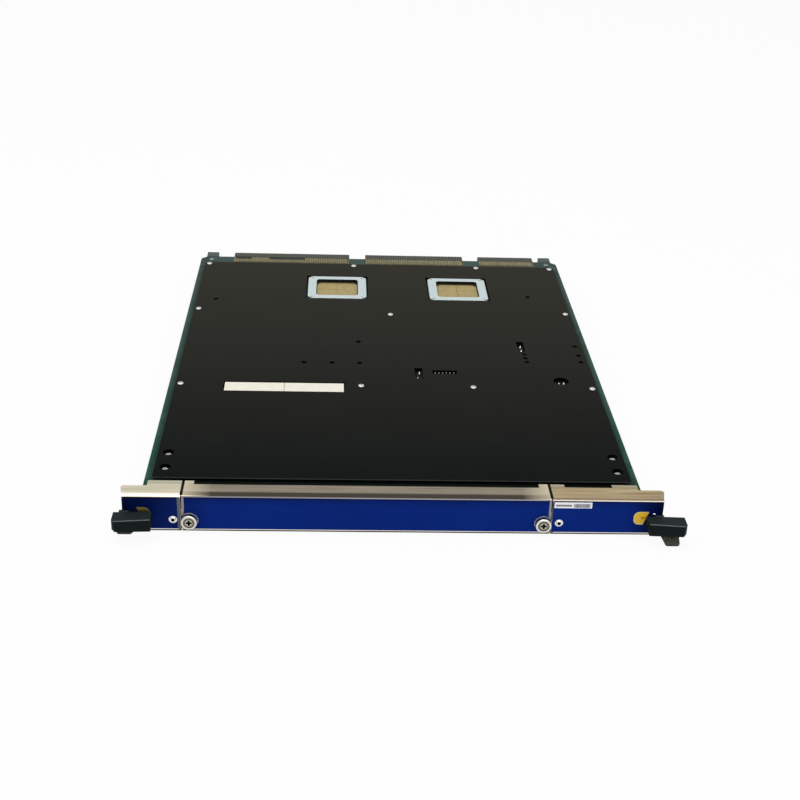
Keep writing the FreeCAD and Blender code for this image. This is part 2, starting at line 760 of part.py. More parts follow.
# Release triggers: a cast tongue on a barrel, made about the pin's axis and hung under the grip.
HANG = {"left": "-trigger_tuck", "right": "trigger_open"}
for word, side in SIDES.items():
    trigger = new_body(f"{word}_trigger")
    ends = sorted((at(side, "trigger_inner"), at(side, "trigger_outer")), key=value)
    pad(trigger, "barrel", "YZ_Plane", *ends, [many_sided("0", "0", "trigger_barrel", 16)])
    pad(trigger, "tongue", "XY_Plane", "-trigger_sheet / 2", "trigger_sheet / 2", [[
        (at(side, "trigger_inner"), "0"),
        (at(side, "trigger_inner"), "-trigger_length * 0.4"),
        (at(side, "trigger_inner + trigger_taper"), "-trigger_length"),
        (at(side, "trigger_outer"), "-trigger_length"),
        (at(side, "trigger_outer"), "0"),
    ]])
    tip = value("-trigger_length")
    dress(trigger, "Fillet", "tip_corners", "trigger_tip", lambda box: upright(box, y=tip))
    ends = sorted((at(side, "trigger_inner - 1"), at(side, "trigger_outer + 1")), key=value)
    pocket(trigger, "bore", "YZ_Plane", *ends, circles=[("0", "0", "trigger_pin + pivot_play")])
    trigger.setExpression("Placement.Base.x", bound(at(side, SLIDE[word])))
    trigger.setExpression("Placement.Base.y", bound("trigger_back"))
    trigger.setExpression("Placement.Base.z", bound("trigger_axis"))
    trigger.Placement.Rotation = FreeCAD.Rotation(FreeCAD.Vector(1, 0, 0), value(HANG[word]))

# Lugs behind the seams: each is riveted to its wing and takes the blank panel's captive screw in an insert.
for word, side in SIDES.items():
    lug = new_body(f"{word}_bay_lug")
    ends = sorted((f"{SEAMS[word]} + {side} * lug_outer", f"{SEAMS[word]} - {side} * lug_near"), key=value)
    pad(lug, "plate", "XZ_Plane", "panel_sheet", "lug_back",
        [rectangle(ends[0], "lug_bottom", ends[1], "lug_top")])
    pocket(lug, "holes", "XZ_Plane", "panel_sheet - 1", "lug_back + 1", [
        many_sided(RIVETS[word], "thumb_height", "rivet_radius", 8),
        many_sided(THUMBS[word], "thumb_height", "shank_radius + 0.5", 12),
    ])
insert = pattern_body("insert_pattern")
pad(insert, "nut", "XZ_Plane", "lug_back", "insert_back", [
    many_sided("0", "0", "insert_radius", 6),
    many_sided("0", "0", "(shank_radius + pivot_play) / 0.9659", 12),
])
group("lug_inserts", insert, [(thumb, "0", "thumb_height") for thumb in THUMBS.values()])
rivet = pattern_body("rivet_pattern")
for name, start, end, radius, count in (
    ("head", "-rivet_proud", "0", "rivet_head", 12),
    ("shank", "0", "lug_back", "rivet_radius", 8),
    ("tail", "lug_back", "rivet_tail", "rivet_radius + 0.8", 8),
):
    pad(rivet, name, "XZ_Plane", start, end, [many_sided("0", "0", radius, count)])
pocket(rivet, "bore", "XZ_Plane", "-rivet_proud - 1", "rivet_tail + 1",
       [many_sided("0", "0", "rivet_bore", 8)])
group("lug_rivets", rivet, [(place, "0", "thumb_height") for place in RIVETS.values()])

# Captive thumbscrews: a collar pressed into the blank panel, a spring in the collar,
# and the turned screw with a cross recess in its knob.
collar = pattern_body("collar_pattern")
for name, start, end, outer, inner in (
    ("flange", "collar_front", "0", "collar_radius", "collar_pocket"),
    ("barrel", "0", "collar_floor", "collar_barrel", "collar_pocket"),
    ("floor", "collar_floor", "panel_sheet", "collar_barrel", "collar_bore"),
):
    pad(collar, name, "XZ_Plane", start, end,
        [many_sided("0", "0", outer, 16), many_sided("0", "0", inner, 16)])
group("thumbscrew_collars", collar, [(thumb, "0", "thumb_height") for thumb in THUMBS.values()])
for word, thumb in THUMBS.items():
    screw = new_body(f"{word}_thumbscrew")
    pad(screw, "knob", "XZ_Plane", "knob_front", "knob_back", [many_sided("0", "0", "knob_radius", 28)])
    pad(screw, "shank", "XZ_Plane", "knob_back", "shank_end", circles=[("0", "0", "shank_radius")])
    pocket(screw, "cross_recess", "XZ_Plane", "knob_front - 1", "knob_front + recess_deep", [[
        ("-recess_long", "-recess_wide"), ("-recess_wide", "-recess_wide"), ("-recess_wide", "-recess_long"),
        ("recess_wide", "-recess_long"), ("recess_wide", "-recess_wide"), ("recess_long", "-recess_wide"),
        ("recess_long", "recess_wide"), ("recess_wide", "recess_wide"), ("recess_wide", "recess_long"),
        ("-recess_wide", "recess_long"), ("-recess_wide", "recess_wide"), ("-recess_long", "recess_wide"),
    ]])
    screw.setExpression("Placement.Base.x", bound(thumb))
    screw.setExpression("Placement.Base.z", bound("thumb_height"))
    spring = new_body(f"{word}_thumbscrew_spring")
    pad(spring, "coil", "XZ_Plane", "knob_back + spring_gap", "collar_floor", [
        many_sided("0", "0", "spring_outer", 12),
        many_sided("0", "0", "spring_inner", 12),
    ])
    spring.setExpression("Placement.Base.x", bound(thumb))
    spring.setExpression("Placement.Base.z", bound("thumb_height"))

# Backplane connectors: moulded housings under the rear edge, with a row of contact slots in the mating face.
for word in ("left", "middle", "right"):
    plug = new_body(f"{word}_backplane_connector")
    start, end = f"plug_{word}_start", f"plug_{word}_end"
    pad(plug, "housing", "YZ_Plane", start, end, [[
        ("plug_front", "board_low"),
        ("plug_front", "plug_low + 8"),
        ("plug_front + 8", "plug_low"),
        ("plug_rear", "plug_low"),
        ("plug_rear", "board_high - 0.6"),
        ("plug_rear - 0.6", "board_high"),
        ("plug_ledge", "board_high"),
        ("plug_ledge", "board_low"),
    ]])
    count = int((value(end) - value(start) - 2 * value("plug_key")) / value("plug_pitch"))
    first = f"({start} + {end} - {count} * plug_pitch + plug_pitch - plug_slot) / 2"
    slot = pocket(plug, "contact_slot", "XZ_Plane", "plug_rear - plug_slot_deep", "plug_rear + 1", [
        rectangle(first, "plug_slot_low", f"{first} + plug_slot", "plug_slot_high")
    ])
    row = plug.newObject("PartDesign::LinearPattern", "contact_slots")
    row.Originals = [slot]
    row.Direction = (next(f for f in plug.Origin.OriginFeatures if f.Role == "X_Axis"), [""])
    row.Occurrences = count
    row.setExpression("Length", bound(f"plug_pitch * {count - 1}"))
    plug.Tip = row
    doc.recompute()

# Guide blocks at the rear corners, bored for the backplane's guide pins.
for word, side in SIDES.items():
    guide = new_body(f"{word}_guide_block")
    ends = sorted((at(side, "guide_out - guide_half"), at(side, "guide_out + guide_half")), key=value)
    pad(guide, "block", "YZ_Plane", *ends, [[
        ("guide_front", "board_low"),
        ("guide_front", "guide_low + 3"),
        ("guide_front + 3", "guide_low"),
        ("plug_rear", "guide_low"),
        ("plug_rear", "board_high"),
        ("plug_ledge", "board_high"),
        ("plug_ledge", "board_low"),
    ]])
    pocket(guide, "pin_bore", "XZ_Plane", "plug_rear - guide_depth", "plug_rear + 1",
           circles=[(at(side, "guide_out"), "guide_axis", "guide_bore")])
    face, wide = value("plug_rear"), 2 * value("guide_bore")
    dress(guide, "Chamfer", "mouth", "guide_mouth", lambda box: (
        box.YLength < 1e-6 and abs(box.YMin - face) < 1e-4
        and abs(box.XLength - wide) < 1e-3 and abs(box.ZLength - wide) < 1e-3
    ))
    pocket(guide, "screw_hole", "XY_Plane", "guide_axis + guide_bore + 0.6", "board_low + 1",
           [many_sided(at(side, "guide_out"), "guide_screw", "screw_radius", 6)])
group("guide_block_screws", screw_pattern("guide_screw_pattern", "board_high", "guide_axis + guide_bore + 1"),
      [(x, y, "0") for x, y in GUIDE_SCREWS])

# Switch chips, finned heat sinks below them, and the windowed backing plates on the solder side.
for word, chip in CHIPS.items():
    package = new_body(f"{word}_switch_chip")
    pad(package, "substrate", "XY_Plane", "board_low - chip_base", "board_low", [
        rectangle(f"{chip} - chip_half", "chip_row - chip_half",
                  f"{chip} + chip_half", "chip_row + chip_half")
    ])
    pad(package, "lid", "XY_Plane", "lid_low", "board_low - chip_base", [
        rectangle(f"{chip} - lid_half", "chip_row - lid_half",
                  f"{chip} + lid_half", "chip_row + lid_half")
    ])
    corners = [
        (f"{chip} + ({across}) * plate_screw", f"chip_row + ({along}) * plate_screw")
        for across in (-1, 1)
        for along in (-1, 1)
    ]

    sink = new_body(f"{word}_heat_sink")
    pad(sink, "base", "XY_Plane", "sink_base", "lid_low", [
        rectangle(f"{chip} - sink_wide", "chip_row - sink_long",
                  f"{chip} + sink_wide", "chip_row + sink_long")
    ])
    fin = pad(sink, "fin", "XY_Plane", "0", "sink_base", [
        rectangle(f"{chip} - sink_wide", "chip_row - sink_long",
                  f"{chip} + sink_wide", "chip_row - sink_long + fin_sheet")
    ])
    fins = sink.newObject("PartDesign::LinearPattern", "fins")
    fins.Originals = [fin]
    fins.Direction = (next(f for f in sink.Origin.OriginFeatures if f.Role == "Y_Axis"), [""])
    fins.Occurrences = int(value("fin_count"))
    fins.setExpression("Length", bound("2 * sink_long - fin_sheet"))
    sink.Tip = fins
    doc.recompute()
    pocket(sink, "screw_wells", "XY_Plane", "-1", "sink_base", [
        rectangle(f"{x} - sink_post", f"{y} - sink_post", f"{x} + sink_post", f"{y} + sink_post")
        for x, y in corners
    ])
    pocket(sink, "screw_holes", "XY_Plane", "sink_base - 1", "lid_low + 1",
           [many_sided(x, y, "sink_screw + hole_play", 6) for x, y in corners])

    plate = new_body(f"{word}_backing_plate")
    pad(plate, "plate", "XY_Plane", "board_high", "plate_high", [
        rectangle(f"{chip} - plate_wide", "chip_row - plate_long",
                  f"{chip} + plate_wide", "chip_row + plate_long")
    ])
    dress(plate, "Chamfer", "plate_corners", "plate_corner", upright)
    pocket(plate, "window", "XY_Plane", "board_high - 1", "plate_high + 1", [
        rectangle(f"{chip} - window_half", "chip_row - window_half",
                  f"{chip} + window_half", "chip_row + window_half")
    ])
    middle, reach = value(chip), value("window_half")
    dress(plate, "Fillet", "window_corners", "window_corner",
          lambda box: upright(box) and abs(abs(box.XMin - middle) - reach) < 1e-4)
    pocket(plate, "screw_holes", "XY_Plane", "board_high - 1", "plate_high + 1",
           [many_sided(x, y, "sink_screw", 6) for x, y in corners])
sink_screw = pattern_body("sink_screw_pattern")
pad(sink_screw, "shank", "XY_Plane", "sink_base", "plate_high", [many_sided("0", "0", "sink_screw", 6)])
pad(sink_screw, "head", "XY_Plane", "sink_head_low", "sink_base", [many_sided("0", "0", "sink_head", 6)])
group("heat_sink_screws", sink_screw, [(x, y, "0") for x, y in SINK_SCREWS])

# Docking connector for the plug-in module: a header that opens to the front,
# with two insulating strips over its contact tails on the solder side.
dock = new_body("docking_connector")
pad(dock, "housing", "XY_Plane", "dock_low", "board_low",
    [rectangle("dock_start", "dock_front", "dock_end", "dock_rear")])
pocket(dock, "mouth", "XZ_Plane", "dock_front - 1", "dock_front + dock_mouth", [
    rectangle("dock_start + dock_wall", "dock_low + dock_wall",
              "dock_end - dock_wall", "board_low - dock_wall")
])
pad(dock, "tongue", "XZ_Plane", "dock_front + 1.5", "dock_front + dock_mouth + 1", [
    rectangle("dock_start + 2 * dock_wall", "dock_low + 2.4 * dock_wall",
              "dock_end - 2 * dock_wall", "board_low - 2.4 * dock_wall")
])
for word, start, end in (
    ("left", "dock_start", "dock_split - dock_gap / 2"),
    ("right", "dock_split + dock_gap / 2", "dock_end"),
):
    strip = new_body(f"{word}_docking_strip")
    pad(strip, "strip", "XY_Plane", "board_high", "dock_strip_high",
        [rectangle(start, "dock_front", end, "dock_rear")])

# Guide rails of the plug-in bay: folded channels that hang from the board and open towards each other.
for word, side in SIDES.items():
    rail = new_body(f"{word}_bay_rail")
    wall, lip = f"rail_{word}", f"rail_{word} - {side} * rail_width"
    inside = f"rail_{word} - {side} * rail_sheet"
    pad(rail, "fold", "XZ_Plane", "rail_front", "rail_rear", [[
        (wall, "rail_low"),
        (lip, "rail_low"),
        (lip, "rail_low + rail_sheet"),
        (inside, "rail_low + rail_sheet"),
        (inside, "board_low - rail_sheet"),
        (lip, "board_low - rail_sheet"),
        (lip, "board_low"),
        (wall, "board_low"),
    ]])

# Power converter: a brick with an aluminium base plate that faces away from the board.
brick = new_body("power_converter")
pad(brick, "base_plate", "XY_Plane", "brick_low", "brick_low + brick_plate",
    [rectangle("brick_start", "brick_front", "brick_end", "brick_rear")])
pad(brick, "core", "XY_Plane", "brick_low + brick_plate", "board_low", [
    rectangle("brick_start + brick_core", "brick_front + brick_core",
              "brick_end - brick_core", "brick_rear - brick_core")
])
pocket(brick, "tapped_holes", "XY_Plane", "brick_low - 1", "brick_low + brick_plate", [
    many_sided(x, y, "brick_tap", 8)
    for x in ("brick_start + brick_tap_inset", "brick_end - brick_tap_inset")
    for y in ("brick_front + brick_tap_inset", "brick_rear - brick_tap_inset")
])

# Bulk capacitor: a rolled can with a crimp groove near its base, standing on the board.
can = new_body("bulk_capacitor")
for name, start, end, radius in (
    ("foot", "0", "1.2", "can_radius"),
    ("groove", "1.2", "2.4", "can_radius - can_groove"),
    ("body", "2.4", "board_low - can_low", "can_radius"),
):
    pad(can, name, "XY_Plane", start, end, [many_sided("0", "0", radius, 20)])
can.setExpression("Placement.Base.x", bound("can_across"))
can.setExpression("Placement.Base.y", bound("can_along"))
can.setExpression("Placement.Base.z", bound("board_low"))
can.Placement.Rotation = FreeCAD.Rotation(FreeCAD.Vector(1, 0, 0), 180)

# Power choke: a pressed block with cut corners.
choke = new_body("power_choke")
pad(choke, "block", "XY_Plane", "choke_low", "board_low", [
    rectangle("choke_across - choke_half", "choke_along - choke_half",
              "choke_across + choke_half", "choke_along + choke_half")
])
dress(choke, "Chamfer", "corners", "flange_corner", upright)

# Service header: a box header that opens downwards.
header = new_body("service_header")
pad(header, "shroud", "XY_Plane", "header_low", "board_low",
    [rectangle("header_start", "header_front", "header_end", "header_rear")])
pocket(header, "mouth", "XY_Plane", "header_low - 1", "board_low - 2.5", [
    rectangle("header_start + 1.2", "header_front + 1.2", "header_end - 1.2", "header_rear - 1.2")
])

# Control chips: flat packages in a row between the bay and the switch chips.
chip = pattern_body("control_chip_pattern")
pad(chip, "package", "XY_Plane", "logic_low", "board_low",
    [rectangle("-logic_half", "-logic_half", "logic_half", "logic_half")])
low = value("logic_low")
dress(chip, "Chamfer", "mould_edge", "0.4", lambda box: box.ZLength < 1e-6 and abs(box.ZMin - low) < 1e-4)
group("control_chips", chip, [(x, "logic_row", "0") for x in ("logic_left", "logic_middle", "logic_right")])

doc.recompute()
for thing in doc.Objects:
    if "Invalid" in thing.State or "Error" in thing.State:
        raise RuntimeError(f"{thing.Label} failed: {thing.State}")
for node in nodes:
    if node.Shape.isNull() or not node.Shape.isValid() or not node.Shape.Solids:
        raise RuntimeError(f"{node.Label} has no sound solid")
os.makedirs("parts", exist_ok=True)
for node in nodes:
    node.Shape.exportStep(f"parts/{node.Label}.step")
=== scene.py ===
import math
import random

import bmesh
import bpy
from mathutils import Matrix, Vector


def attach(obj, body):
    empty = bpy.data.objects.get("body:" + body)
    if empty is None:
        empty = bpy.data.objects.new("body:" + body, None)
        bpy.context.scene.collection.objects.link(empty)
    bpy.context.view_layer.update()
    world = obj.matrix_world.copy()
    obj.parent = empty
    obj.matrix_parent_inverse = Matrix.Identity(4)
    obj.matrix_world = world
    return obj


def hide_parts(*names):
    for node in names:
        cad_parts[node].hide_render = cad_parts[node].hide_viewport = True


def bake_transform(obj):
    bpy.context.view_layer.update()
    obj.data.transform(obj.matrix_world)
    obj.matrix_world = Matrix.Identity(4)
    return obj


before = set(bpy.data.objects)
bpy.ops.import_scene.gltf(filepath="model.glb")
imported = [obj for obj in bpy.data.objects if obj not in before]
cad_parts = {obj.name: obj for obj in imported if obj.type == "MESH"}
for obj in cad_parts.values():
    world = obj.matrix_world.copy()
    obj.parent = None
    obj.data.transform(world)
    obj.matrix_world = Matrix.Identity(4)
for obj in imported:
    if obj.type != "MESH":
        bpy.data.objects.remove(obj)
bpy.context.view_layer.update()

# Circuit board. A thick glass laminate with many copper layers, green solder resist on both faces
# and a bare sawn edge. Its rear edge carries the plated holes of the backplane connectors. Most of its
# upper face lies under the cover, and is painted near black there as shade. The green is painted greyer
# towards the rear, as a sheen.


def tint(red, green, blue):
    """A colour as read from a screen, 0 to 255, in the linear values that a shader takes."""
    levels = [level / 255 for level in (red, green, blue)]
    return (*[v / 12.92 if v < 0.04045 else ((v + 0.055) / 1.055) ** 2.4 for v in levels], 1.0)


class Reading:
    """A value that varies over a surface: a shader socket that is used like a number."""

    def __init__(self, finish, socket):
        self.finish = finish
        self.socket = socket

    def math(self, operation, *values):
        return self.finish.node("ShaderNodeMath", {"operation": operation}, values)

    def __add__(self, other):
        return self.math("ADD", self, other)

    def __radd__(self, other):
        return self.math("ADD", other, self)

    def __sub__(self, other):
        return self.math("SUBTRACT", self, other)

    def __rsub__(self, other):
        return self.math("SUBTRACT", other, self)

    def __mul__(self, other):
        return self.math("MULTIPLY", self, other)

    def __rmul__(self, other):
        return self.math("MULTIPLY", other, self)

    def __gt__(self, other):
        return self.math("GREATER_THAN", self, other)

    def __lt__(self, other):
        return self.math("LESS_THAN", self, other)

    def __and__(self, other):
        return self.math("MINIMUM", self, other)

    def __or__(self, other):
        return self.math("MAXIMUM", self, other)

    def __abs__(self):
        return self.math("ABSOLUTE", self)

    def fold(self, pitch):
        """The distance to the nearest line of a row with the given pitch."""
        return self.math("PINGPONG", self, pitch / 2)

    def within(self, low, high):
        return (self > low) & (self < high)

    def rise(self, low, high):
        """0 at low, 1 at high, a straight ramp between them and level beyond. Low may be the larger."""
        return self.finish.node("ShaderNodeMapRange", {}, {"Value": self, "From Min": low, "From Max": high})


class Shading:
    """The shader nodes of a material or of the room, made in the order they are written."""

    def __init__(self, tree):
        self.tree = tree

    def node(self, kind, settings, sockets, output=0):
        """Adds a node from its type, its settings and the values or links of its sockets."""
        made = self.tree.nodes.new(kind)
        for word, setting in settings.items():
            setattr(made, word, setting)
        for word, value in sockets.items() if isinstance(sockets, dict) else enumerate(sockets):
            self.join(made.inputs[word], value)
        return Reading(self, made.outputs[output])

    def join(self, socket, value):
        if isinstance(value, Reading):
            self.tree.links.new(value.socket, socket)
        else:
            socket.default_value = value

    def in_sight(self):
        """1 for what the camera sees, straight, mirrored or through a clear body, and 0 for plain light."""
        straight = self.node("ShaderNodeLightPath", {}, {}, "Is Camera Ray")
        mirrored = self.node("ShaderNodeLightPath", {}, {}, "Is Glossy Ray")
        through = self.node("ShaderNodeLightPath", {}, {}, "Is Transmission Ray")
        return straight | mirrored | through


class Finish(Shading):
    """A surface finish. Places on the surface are in millimetres."""

    def __init__(self, name, **plain):
        self.material = bpy.data.materials.new(name)
        self.material.use_nodes = True
        super().__init__(self.material.node_tree)
        self.shader = self.tree.nodes["Principled BSDF"]
        metres = self.node("ShaderNodeTexCoord", {}, {}, "Object")
        self.place = self.node("ShaderNodeVectorMath", {"operation": "SCALE"},
                               {"Vector": metres, "Scale": 1000})
        self.x, self.y, self.z = self.parts(self.place)
        self.paint(plain)

    def paint(self, values):
        for word, value in values.items():
            self.join(self.shader.inputs[word.replace("_", " ")], value)

    def parts(self, vector):
        split = self.node("ShaderNodeSeparateXYZ", {}, [vector])
        return [Reading(self, socket) for socket in split.socket.node.outputs]

    def facing(self):
        """The X, Y and Z of the way that the surface faces."""
        return self.parts(self.node("ShaderNodeNewGeometry", {}, {}, "True Normal"))

    def between(self, share, first, second):
        """A colour from the first to the second."""
        return self.node("ShaderNodeMix", {"data_type": "RGBA"}, {0: share, 6: first, 7: second}, 2)

    def stretched(self, stretch):
        return self.node("ShaderNodeVectorMath", {"operation": "MULTIPLY"}, [self.place, stretch])

    def cloud(self, size, detail=3, stretch=(1, 1, 1)):
        """Uneven patches of about the given size, from 0 to 1."""
        return self.node("ShaderNodeTexNoise", {},
                         {"Vector": self.stretched(stretch), "Scale": 1 / size, "Detail": detail})

    def cells(self, size, output, settings=None):
        """Cells of about the given size: a colour for each, or the distance to its middle."""
        return self.node("ShaderNodeTexVoronoi", settings or {},
                         {"Vector": self.place, "Scale": 1 / size}, output)

    def relief(self, height, depth, strength=1.0):
        """Fine relief of the given depth, in millimetres."""
        self.paint({"Normal": self.node("ShaderNodeBump", {}, {
            "Strength": strength, "Distance": depth / 1000, "Height": height})})


def coat(finish, *names, ease=0.0):
    """Puts a finish on CAD nodes, and eases their edges where the real piece's edges are soft."""
    for name in names:
        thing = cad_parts[name]
        if not thing.material_slots:
            thing.data.materials.append(None)
        for held in thing.material_slots:
            held.material = finish.material
        if ease:
            thing.modifiers.new("joined", "WELD").merge_threshold = 1e-6
            soft = thing.modifiers.new("eased", "BEVEL")
            soft.width = ease / 1000
            soft.segments = 2
            soft.limit_method = "ANGLE"
            soft.angle_limit = math.radians(40)


BOARD_LOW, BOARD_TOP = 23.2, 26.0
LAYER_PITCH = 0.35
TRACE_PITCH, TRACE_HALF = 1.3, 0.24
CONNECTORS = [(-166.2, -34.9), (-16.4, 95.6), (114.0, 177.1)]
FOOTPRINT = (521.0, 544.0)
PIN_PITCH = 2.0
PIN_ROWS = [528.0 + PIN_PITCH * row for row in range(8)]
HOLE_ROWS = (527.2, 543.0)
FIRST_ROWS = 529
LAST_ROWS = (537, 545)
UNPINNED = [(-164.7, -146.3), (-126.4, -85.2)]
DARK_SIDE, DARK_REAR = 195.5, 518.5

resist = Finish("green_resist", Roughness=0.5, Specular_IOR_Level=0.06)
up = resist.facing()[2]
on_face = abs(up) > 0.5
region = resist.parts(resist.cells(21, "Color", {"distance": "CHEBYCHEV"}))
lengthwise = region[0] > 0.5
lanes = resist.x.fold(TRACE_PITCH) * lengthwise + resist.y.fold(TRACE_PITCH) * (1 - lengthwise)
traces = (lanes < TRACE_HALF) & (region[1] > 0.35)
vias = resist.cells(4.5, "Distance") < 0.085
off_x, off_y = resist.x.fold(PIN_PITCH), resist.y.fold(PIN_PITCH)
holes = off_x * off_x + off_y * off_y < 0.66
tails = resist.x.within(*CONNECTORS[0]) | resist.x.within(*CONNECTORS[1]) | resist.x.within(*CONNECTORS[2])
plated = holes & tails & resist.y.within(*HOLE_ROWS)
shade_under_cover = resist.x.within(-DARK_SIDE, DARK_SIDE) & resist.y.within(0, DARK_REAR) & (up > 0.5)
mottle = resist.cloud(14)
# Painted sheen: the green turns greyer towards the rear.
rear_sheen = resist.y.rise(60, 500)
green = resist.between(mottle, resist.between(rear_sheen, tint(10, 58, 45), tint(34, 52, 50)),
                       resist.between(rear_sheen, tint(22, 78, 60), tint(54, 72, 69)))
green = resist.between(traces * 0.4, green, tint(82, 118, 108))
green = resist.between(vias, green, tint(150, 146, 118))
margin = abs(resist.x).rise(201.5, 198.5) * (up > 0.5) * (resist.y < 518)
green = resist.between(margin * 0.6, green, tint(10, 30, 26))
pin_band = resist.between(resist.cloud(5, detail=4, stretch=(1, 0.2, 1)), tint(26, 25, 19), tint(60, 57, 44))
green = resist.between(tails & resist.y.within(*FOOTPRINT), green, pin_band)
green = resist.between(plated * (resist.y > FIRST_ROWS), green, tint(122, 116, 90))
unpinned = (resist.x.within(*UNPINNED[0]) | resist.x.within(*UNPINNED[1])) & resist.y.within(*LAST_ROWS)
# Painted shade: the upper face under the cover and the band of the empty rows are painted near black.
green = resist.between(shade_under_cover * 0.97 | unpinned * 0.85, green, tint(4, 6, 6))
layers = resist.z.fold(LAYER_PITCH) < 0.05
sawn = resist.between(layers, tint(74, 98, 82), tint(118, 104, 60))
resist.paint({
    "Base Color": resist.between(on_face, sawn, green),
    "Metallic": (vias | plated) * on_face * 0.8,
})
resist.relief(traces * 0.6 + vias + plated + mottle * 0.2, 0.05)
coat(resist, "circuit_board", ease=0.15)

# Pin tails. The backplane connectors' tinned contacts come through the board in eight rows,
# each one soldered in its plated hole. The last rows of the left connector are empty in two
# stretches, and the first rows are dull.


def stack(rings, closed=False):
    """A mesh through rings of points, each with the same count: with flat ends, or closed round."""
    shape = bmesh.new()
    rows = [[shape.verts.new(point) for point in ring] for ring in rings]
    count = len(rows[0])
    pairs = list(zip(rows, rows[1:] + rows[:1] if closed else rows[1:]))
    for row, after in pairs:
        for i in range(count):
            j = (i + 1) % count
            shape.faces.new((row[i], row[j], after[j], after[i]))
    if not closed:
        shape.faces.new(rows[0])
        shape.faces.new(rows[-1])
    bmesh.ops.recalc_face_normals(shape, faces=shape.faces)
    mesh = bpy.data.meshes.new("pattern")
    shape.to_mesh(mesh)
    shape.free()
    return mesh


def turned(profile, sides=32, closed=False, knurl=0.0):
    """A turned shape about Z from (radius, height) pairs. A third value of 1 cuts the knurl there."""
    rings = []
    for radius, height, *cut in profile:
        ring = []
        for i in range(sides):
            turn = 2 * math.pi * i / sides
            reach = radius - (knurl if cut and i % 2 else 0)
            ring.append((reach * math.cos(turn), reach * math.sin(turn), height))
        rings.append(ring)
    return stack(rings, closed)


def piece(name, parts, finish, body, stands_for=()):
    """A new piece from patterns in millimetres, each with the places of its copies, on a body."""
    whole = bmesh.new()
    for pattern, places in parts:
        for place in places:
            first = len(whole.verts)
            whole.from_mesh(pattern)
            whole.verts.ensure_lookup_table()
            bmesh.ops.transform(whole, matrix=place, verts=whole.verts[first:])
    bmesh.ops.scale(whole, vec=(0.001, 0.001, 0.001), verts=whole.verts)
    mesh = bpy.data.meshes.new(name)
    whole.to_mesh(mesh)
    whole.free()
    mesh.shade_smooth()
    mesh.set_sharp_from_angle(angle=math.radians(35))
    mesh.materials.append(finish.material)
    thing = bpy.data.objects.new(name, mesh)
    bpy.context.scene.collection.objects.link(thing)
    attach(thing, body)
    if stands_for:
        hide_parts(*stands_for)
    return thing


def at(x, y, z, turn=0.0):
    """A place on the board, turned about Z by the given degrees."""
    return Matrix.Translation((x, y, z)) @ Matrix.Rotation(math.radians(turn), 4, "Z")


tinned = Finish("tinned_contact", Metallic=1.0, Roughness=0.38)
tin = tinned.between(tinned.cloud(3, stretch=(1, 0.15, 1)), tint(138, 132, 103), tint(188, 182, 149))
on_right = tinned.x > 100
first_rows = tinned.y.within(520, FIRST_ROWS) | tinned.y.within(520, FIRST_ROWS + PIN_PITCH) * on_right
tinned.paint({"Base Color": tinned.between(first_rows * 0.75, tin, tint(40, 38, 22))})
FIRST_PIN = 1.3
tail = turned([(0.62, 0), (0.34, 0.4), (0.27, 1.0), (0.16, 1.3)], sides=6)
tail_places = []
for start, end in CONNECTORS:
    for row in PIN_ROWS:
        for column in range(int((end - start - PIN_PITCH) / PIN_PITCH)):
            x = start + FIRST_PIN + PIN_PITCH * column
            if row < LAST_ROWS[0] or not any(low < x < high for low, high in UNPINNED):
                tail_places.append(at(x, row, BOARD_TOP))
piece("pin_tails", [(tail, tail_places)], tinned, "board")

# Solder joints under the cover's openings. The leads of the converter, the choke, the service header
# and the capacitor come through the board here, cut short and soldered on this side.
HEADER_PITCH = 3.55
HEADER_PINS = [(46.2 + HEADER_PITCH * column, row) for column in range(6) for row in (238.9, 242.4)]
CONVERTER_LEADS = [(135.2, 297.0), (135.2, 306.5)]
CHOKE_LEADS = [(29.0, 231.0), (31.2, 243.0)]
CAPACITOR_LEADS = [(162.2, 222.0), (167.0, 222.4)]
solder = Finish("solder", Metallic=1.0, Roughness=0.3)
solder.paint({"Base Color": solder.between(solder.cloud(0.8), tint(200, 200, 190), tint(240, 238, 228))})
joint = turned([(1.25, 0), (1.05, 0.25), (0.62, 0.8), (0.5, 1.5), (0.3, 1.75)], sides=16)
fine_joint = turned([(0.8, 0), (0.6, 0.3), (0.42, 1.0), (0.4, 1.7), (0.25, 1.9)], sides=10)
large = Matrix.Scale(1.3, 4)
piece("solder_joints", [
    (joint, [at(x, y, BOARD_TOP) for x, y in CONVERTER_LEADS + CHOKE_LEADS]
     + [at(x, y, BOARD_TOP) @ large for x, y in CAPACITOR_LEADS]),
    (fine_joint, [at(x, y, BOARD_TOP) for x, y in HEADER_PINS]),
], solder, "board")

# Switch chips. A ceramic substrate soldered to the board, under a plated metal lid
# that the heat sink presses on.
LID_END = 21.78
package = Finish("chip_package", Roughness=0.4)
lid = package.z < LID_END
lid_metal = package.between(package.cloud(4), tint(150, 150, 146), tint(178, 178, 172))
package.paint({
    "Base Color": package.between(lid, tint(92, 78, 46), lid_metal),
    "Metallic": lid * 0.9,
})
package.relief(package.cloud(0.6), 0.02)
coat(package, "left_switch_chip", "right_switch_chip", ease=0.2)

# Control chips. Flat moulded packages with a dull skin, and gull-wing leads on all four sides
# that are soldered to the board.


def slab(x, y, z, ease=0.0):
    """A block between pairs of limits, with its edges cut back."""
    shape = bmesh.new()
    bmesh.ops.create_cube(shape, size=1.0)
    for vert in shape.verts:
        vert.co = [low + (0.5 + share) * (high - low) for share, (low, high) in zip(vert.co, (x, y, z))]
    if ease:
        bmesh.ops.bevel(shape, geom=shape.edges[:], offset=ease, segments=2, affect="EDGES", profile=0.5)
    mesh = bpy.data.meshes.new("pattern")
    shape.to_mesh(mesh)
    shape.free()
    return mesh


